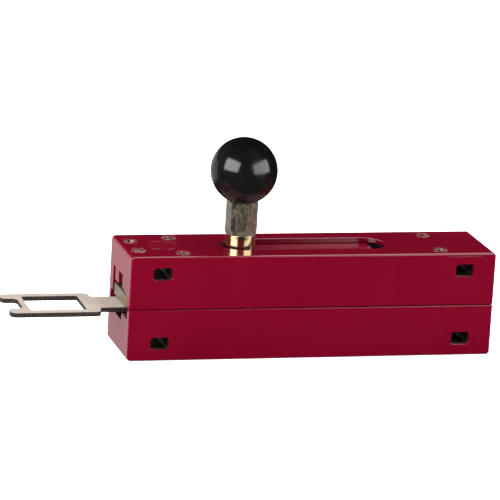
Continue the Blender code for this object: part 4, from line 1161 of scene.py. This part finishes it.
for label in ("front", "rear"):
    rail = eased_copy(f"shutter_rail_{label}", f"nylon_rail_{label}", RAIL_EDGE)
    settle(rail, "housing", "nylon", nylon, f"shutter_rail_{label}")

# %% [markdown]
# ## The carriage
#
# One casting carries everything that moves: a flat nose in the window, a bar along the housing, a
# saddle that runs on the two rods, and a round turret under the post. Each block gets its own rounded
# edges before they are joined, so the corners between them stay crisp, as cast ones do.

# %% Carriage
CARRIAGE_EDGE = 0.4 * MM
NOSE_LENGTH = 19.5 * MM
BAR_HALF = 8.0 * MM
BAR_HEIGHT = 5.1 * MM
SADDLE_HALF = 12.5 * MM
SADDLE_TOP = 35.5 * MM
TURRET_RADIUS = 7.5 * MM
SHANK_RADIUS = 4.0 * MM
BUSH_RADIUS = 3.5 * MM
BUSH_SEAT = 7.6 * MM
BORE_FIT = 0.5 * MM

low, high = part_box("bolt_carriage")
bar_top = low.z + BAR_HEIGHT


def eased_block(name, corner_low, corner_high):
    """Add a block with all its edges rounded a little."""
    piece = block(name, corner_low, corner_high)
    ease(piece, everything, CARRIAGE_EDGE, 3)
    return piece


carriage = eased_block("carriage_casting", (low.x, low.y, low.z),
                       (low.x + NOSE_LENGTH, high.y, bar_top))
carve(carriage,
      eased_block("slide_bar", (low.x + NOSE_LENGTH / 2, -BAR_HALF, low.z + STAGGER),
                  (high.x, BAR_HALF, bar_top - STAGGER)),
      eased_block("saddle", (post_x - SADDLE_HALF, low.y, low.z + 2 * STAGGER),
                  (post_x + SADDLE_HALF, high.y, SADDLE_TOP)),
      bar("turret", (post_x, 0.0, bar_z), (post_x, 0.0, high.z), TURRET_RADIUS, 96),
      operation="UNION")
ease(carriage, lambda edge: at_level(edge, 2, high.z), CARRIAGE_EDGE, 3)
for side in (-1, 1):
    rod_line = [Vector((post_x + end * SADDLE_HALF, side * ROD_Y, ROD_Z)) for end in (-1, 1)]
    over = Vector((MM, 0.0, 0.0))
    seat = Vector((BUSH_SEAT, 0.0, 0.0))
    carve(carriage,
          bar("rod_bore", rod_line[0] - over, rod_line[1] + over, ROD_RADIUS + BORE_FIT, 48),
          bar("near_seat", rod_line[0] - over, rod_line[0] + seat, BUSH_RADIUS + SLOT_FIT, 48),
          bar("far_seat", rod_line[1] - seat, rod_line[1] + over, BUSH_RADIUS + SLOT_FIT, 48))
carve(carriage, bar("post_bore", (post_x, 0.0, low.z - MM), (post_x, 0.0, high.z + MM),
                    SHANK_RADIUS + SLOT_FIT, 64))
settle(carriage, "bolt", "carriage", nose_zinc, "bolt_carriage")

# %% [markdown]
# Four bushes of sintered bronze, two for each rod, sit in the saddle's ends. Each is a short tube whose
# edges are rounded, as they are when such a bush is pressed to size.

# %% Bushes
BUSH_EDGE = 0.25 * MM

for number in (1, 2, 3, 4):
    low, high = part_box(f"slide_bush_{number}")
    spot = (low + high) / 2
    bush = bar(f"bronze_bush_{number}", (low.x, spot.y, spot.z), (high.x, spot.y, spot.z),
               BUSH_RADIUS, 64)
    carve(bush, bar("bush_bore", (low.x - MM, spot.y, spot.z), (high.x + MM, spot.y, spot.z),
                    ROD_RADIUS + SLOT_FIT, 64))
    ease(bush, sharp, BUSH_EDGE, 2)
    settle(bush, "bolt", "bush", bronze, f"slide_bush_{number}")

# %% [markdown]
# ## The handle post
#
# The post is turned from hexagon bar. Below the deck it is a plain shank; above it stands a round
# neck, and then the bar keeps its six sides up to the knob. Where a turned shoulder meets the
# hexagon, the corners of the bar are chamfered by the lathe, which is made by intersecting the
# hexagon with a round bar whose ends are chamfered.

# %% Post
HEX_TURN = math.radians(5.0)
HEX_ACROSS_FLATS = 12.0 * MM
HEX_HEIGHT = 14.4 * MM
NECK_RADIUS = 6.4 * MM
NECK_HEIGHT = 4.9 * MM
NECK_UNDERSIDE = 41.6 * MM
HEX_CHAMFER = 0.5 * MM
HEX_EDGE = 0.12 * MM
NECK_EDGE = 0.25 * MM
SHANK_CHAMFER = 0.5 * MM

neck_top = deck_z + NECK_HEIGHT
hex_top = neck_top + HEX_HEIGHT
corner_radius = HEX_ACROSS_FLATS / 2 * SOCKET_CORNERS


def hexagon(name, foot_z, top_z, corner_radius, turn=0.0):
    """Add an upright six-sided bar on the line of the post."""
    bpy.ops.object.select_all(action="DESELECT")
    bpy.ops.mesh.primitive_cylinder_add(vertices=6, radius=corner_radius, depth=top_z - foot_z,
                                        location=(post_x, 0.0, (foot_z + top_z) / 2),
                                        rotation=(0.0, 0.0, turn))
    return named(name)


def turn_ends(piece, foot_z, top_z, corner_radius, chamfer):
    """Chamfer the corners of a hexagon at both ends, as a lathe does."""
    lathe_cut = bar("lathe_cut", (post_x, 0.0, foot_z), (post_x, 0.0, top_z), corner_radius, 128)
    ease(lathe_cut, lambda edge: not runs_along(edge, 2), chamfer, 1)
    carve(piece, lathe_cut, operation="INTERSECT")


post = hexagon("hexagon_post", neck_top, hex_top, corner_radius, HEX_TURN)
ease(post, lambda edge: runs_along(edge, 2), HEX_EDGE, 2)
turn_ends(post, neck_top, hex_top, corner_radius, HEX_CHAMFER)
neck = bar("neck", (post_x, 0.0, NECK_UNDERSIDE), (post_x, 0.0, neck_top + OVERLAP),
           NECK_RADIUS, 96)
ease(neck, lambda edge: not runs_along(edge, 2), NECK_EDGE, 3)
shank = bar("shank", (post_x, 0.0, post_low.z), (post_x, 0.0, post_high.z), SHANK_RADIUS, 64)
ease(shank, lambda edge: not runs_along(edge, 2), SHANK_CHAMFER, 1)
carve(post, neck, shank, operation="UNION")
settle(post, "bolt", "post", post_zinc, "handle_post")

# %% [markdown]
# Under the carriage a washer and a six-sided nut hold the post. The nut is made as the hexagon of the
# post was, with its corners turned off at both ends, and both pieces are bored for the shank.

# %% Washer and nut
NUT_CORNER_RADIUS = 6.5 * MM * SOCKET_CORNERS
NUT_CHAMFER = 0.7 * MM
FIXING_EASE = 0.12 * MM

washer_low, washer_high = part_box("post_washer")
washer = bar("plain_washer", (post_x, 0.0, washer_low.z), (post_x, 0.0, washer_high.z),
             (washer_high.x - washer_low.x) / 2, 96)
nut_low, nut_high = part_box("post_nut")
nut = hexagon("hexagon_nut", nut_low.z, nut_high.z, NUT_CORNER_RADIUS)
turn_ends(nut, nut_low.z, nut_high.z, NUT_CORNER_RADIUS, NUT_CHAMFER)
for piece, node in ((washer, "post_washer"), (nut, "post_nut")):
    carve(piece, bar("bore", (post_x, 0.0, nut_low.z - MM), (post_x, 0.0, washer_high.z + MM),
                     SHANK_RADIUS + SLOT_FIT, 64))
    ease(piece, lambda edge: sharp(edge) and not runs_along(edge, 2), FIXING_EASE, 2)
    settle(piece, "bolt", "fixing", clear_zinc, node)

# %% [markdown]
# ## The ball knob
#
# The knob is a true ball with a small flat where it sits on the hexagon. A fine sphere primitive is
# cut off at the flat by bisecting it, the edge of the flat is rounded, and a blind bore takes the
# brass insert that the post's stud screws into.
#
# Light linking keeps the overhead light off the ball, so that only the two softboxes in front stand in
# its gloss as bright windows.

# %% Ball knob
BALL_RADIUS = 14.25 * MM
FLAT_EDGE = 0.35 * MM
INSERT_RADIUS = 5.5 * MM
BORE_DEPTH = 14.6 * MM

ball_low, ball_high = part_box("ball_knob")
ball_centre = Vector((post_x, 0.0, ball_high.z - BALL_RADIUS))
bpy.ops.object.select_all(action="DESELECT")
bpy.ops.mesh.primitive_uv_sphere_add(segments=128, ring_count=80, radius=BALL_RADIUS,
                                     location=ball_centre)
ball = named("phenolic_ball")
shape(ball, "VERT", everything, bpy.ops.mesh.bisect,
      plane_co=(post_x, 0.0, ball_low.z), plane_no=(0.0, 0.0, 1.0), use_fill=True,
      clear_inner=True)
ease(ball, lambda edge: at_level(edge, 2, ball_low.z), FLAT_EDGE, 4)
carve(ball, bar("insert_bore", (post_x, 0.0, ball_low.z - MM),
                (post_x, 0.0, ball_low.z + BORE_DEPTH), INSERT_RADIUS + SLOT_FIT, 64))
settle(ball, "bolt", "knob", black_resin, "ball_knob")

shaded = bpy.data.collections.new("shaded_from_above")
shaded.objects.link(ball)
shaded.collection_objects[0].light_linking.link_state = "EXCLUDE"
top_box.light_linking.receiver_collection = shaded

# %% Threaded insert
INSERT_EDGE = 0.3 * MM

insert_low, insert_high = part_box("knob_insert")
insert = bar("brass_insert", (post_x, 0.0, insert_low.z), (post_x, 0.0, insert_high.z),
             INSERT_RADIUS, 64)
carve(insert, bar("thread_bore", (post_x, 0.0, insert_low.z - MM),
                  (post_x, 0.0, insert_high.z + MM), SHANK_RADIUS + SLOT_FIT, 64))
ease(insert, sharp, INSERT_EDGE, 2)
settle(insert, "bolt", "insert", brass, "knob_insert")

# %% [markdown]
# ## The shutter
#
# A thin enamelled plate rides with the post under the deck. With the key out it closes the slot up to a
# small gap at the far end. Drawn back, it leaves the key end of the slot open.

# %% Shutter
SHUTTER_CORNER = 2.0 * MM
SHUTTER_EDGE = 0.15 * MM

low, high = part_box("shutter")
shutter = rounded_bar("shutter_plate", low, high, 2, SHUTTER_CORNER, 8)
carve(shutter, bar("post_hole", (post_x, 0.0, low.z - MM), (post_x, 0.0, high.z + MM),
                   NECK_RADIUS + SLOT_FIT, 96))
ease(shutter, sharp, SHUTTER_EDGE, 2)
settle(shutter, "bolt", "shutter", red_hardware, "shutter")

# %% [markdown]
# ## The interlock key
#
# The key is stamped from 2 mm strip. Its outline is made by cutting a plain blank, as the press does:
# two corners beside the neck, the notch between the prongs, the window and two screw holes. Then
# every upright corner gets its radius, and last all upper and lower edges are eased, which gives the
# rolled-over edge of a stamping.

# %% Key
KEY_SHOULDER_FROM_TIP = 38.6 * MM
KEY_NECK_HALF = 8.5 * MM
KEY_CORNER = 2.8 * MM
KEY_SMALL_CORNER = 2.2 * MM
NOTCH_HALF = 7.5 * MM
NOTCH_DEPTH = 6.5 * MM
WINDOW_FROM_TIP = 9.0 * MM
WINDOW_LENGTH = 24.0 * MM
KEY_LEG = 4.4 * MM
WINDOW_CORNER = 0.8 * MM
KEY_HOLE_RADIUS = 1.8 * MM
STAMPED_EDGE = 0.16 * MM

key = block("stamped_key", key_low, key_high)
shoulder_x = key_low.x + KEY_SHOULDER_FROM_TIP
half_width = key_high.y
for side in (-1, 1):
    inner, outer = sorted((side * KEY_NECK_HALF, side * (half_width + MM)))
    carve(key, block("beside_neck", (shoulder_x, inner, key_low.z - MM),
                     (key_high.x + MM, outer, key_high.z + MM)))
carve(key,
      block("notch", (key_low.x - MM, -NOTCH_HALF, key_low.z - MM),
            (key_low.x + NOTCH_DEPTH, NOTCH_HALF, key_high.z + MM)),
      rounded_bar("key_window",
                  (key_low.x + WINDOW_FROM_TIP, KEY_LEG - half_width, key_low.z - MM),
                  (key_low.x + WINDOW_FROM_TIP + WINDOW_LENGTH, half_width - KEY_LEG,
                   key_high.z + MM), 2, WINDOW_CORNER, 5))


def round_upright(x, half_y, radius):
    """Round the two upright edges of the key at one place along it."""
    ease(key, lambda edge: runs_along(edge, 2) and abs(centre_of(edge).x - x) < NEAR
         and abs(abs(centre_of(edge).y) - half_y) < NEAR, radius, 8)


for x, half_y, radius in ((key_low.x, half_width, KEY_CORNER),
                          (shoulder_x, half_width, KEY_CORNER),
                          (key_low.x, NOTCH_HALF, KEY_SMALL_CORNER),
                          (key_low.x + NOTCH_DEPTH, NOTCH_HALF, KEY_SMALL_CORNER),
                          (shoulder_x, KEY_NECK_HALF, KEY_SMALL_CORNER),
                          (key_high.x, KEY_NECK_HALF, KEY_SMALL_CORNER)):
    round_upright(x, half_y, radius)
for name in KEY_SCREWS:
    low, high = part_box(name)
    spot = (low + high) / 2
    carve(key, bar("screw_hole", (spot.x, 0.0, key_low.z - MM), (spot.x, 0.0, key_high.z + MM),
                   KEY_HOLE_RADIUS, 48))
ease(key, lambda edge: sharp(edge) and not runs_along(edge, 2), STAMPED_EDGE, 2)
settle(key, "bolt", "key", rolled_steel, "interlock_key")
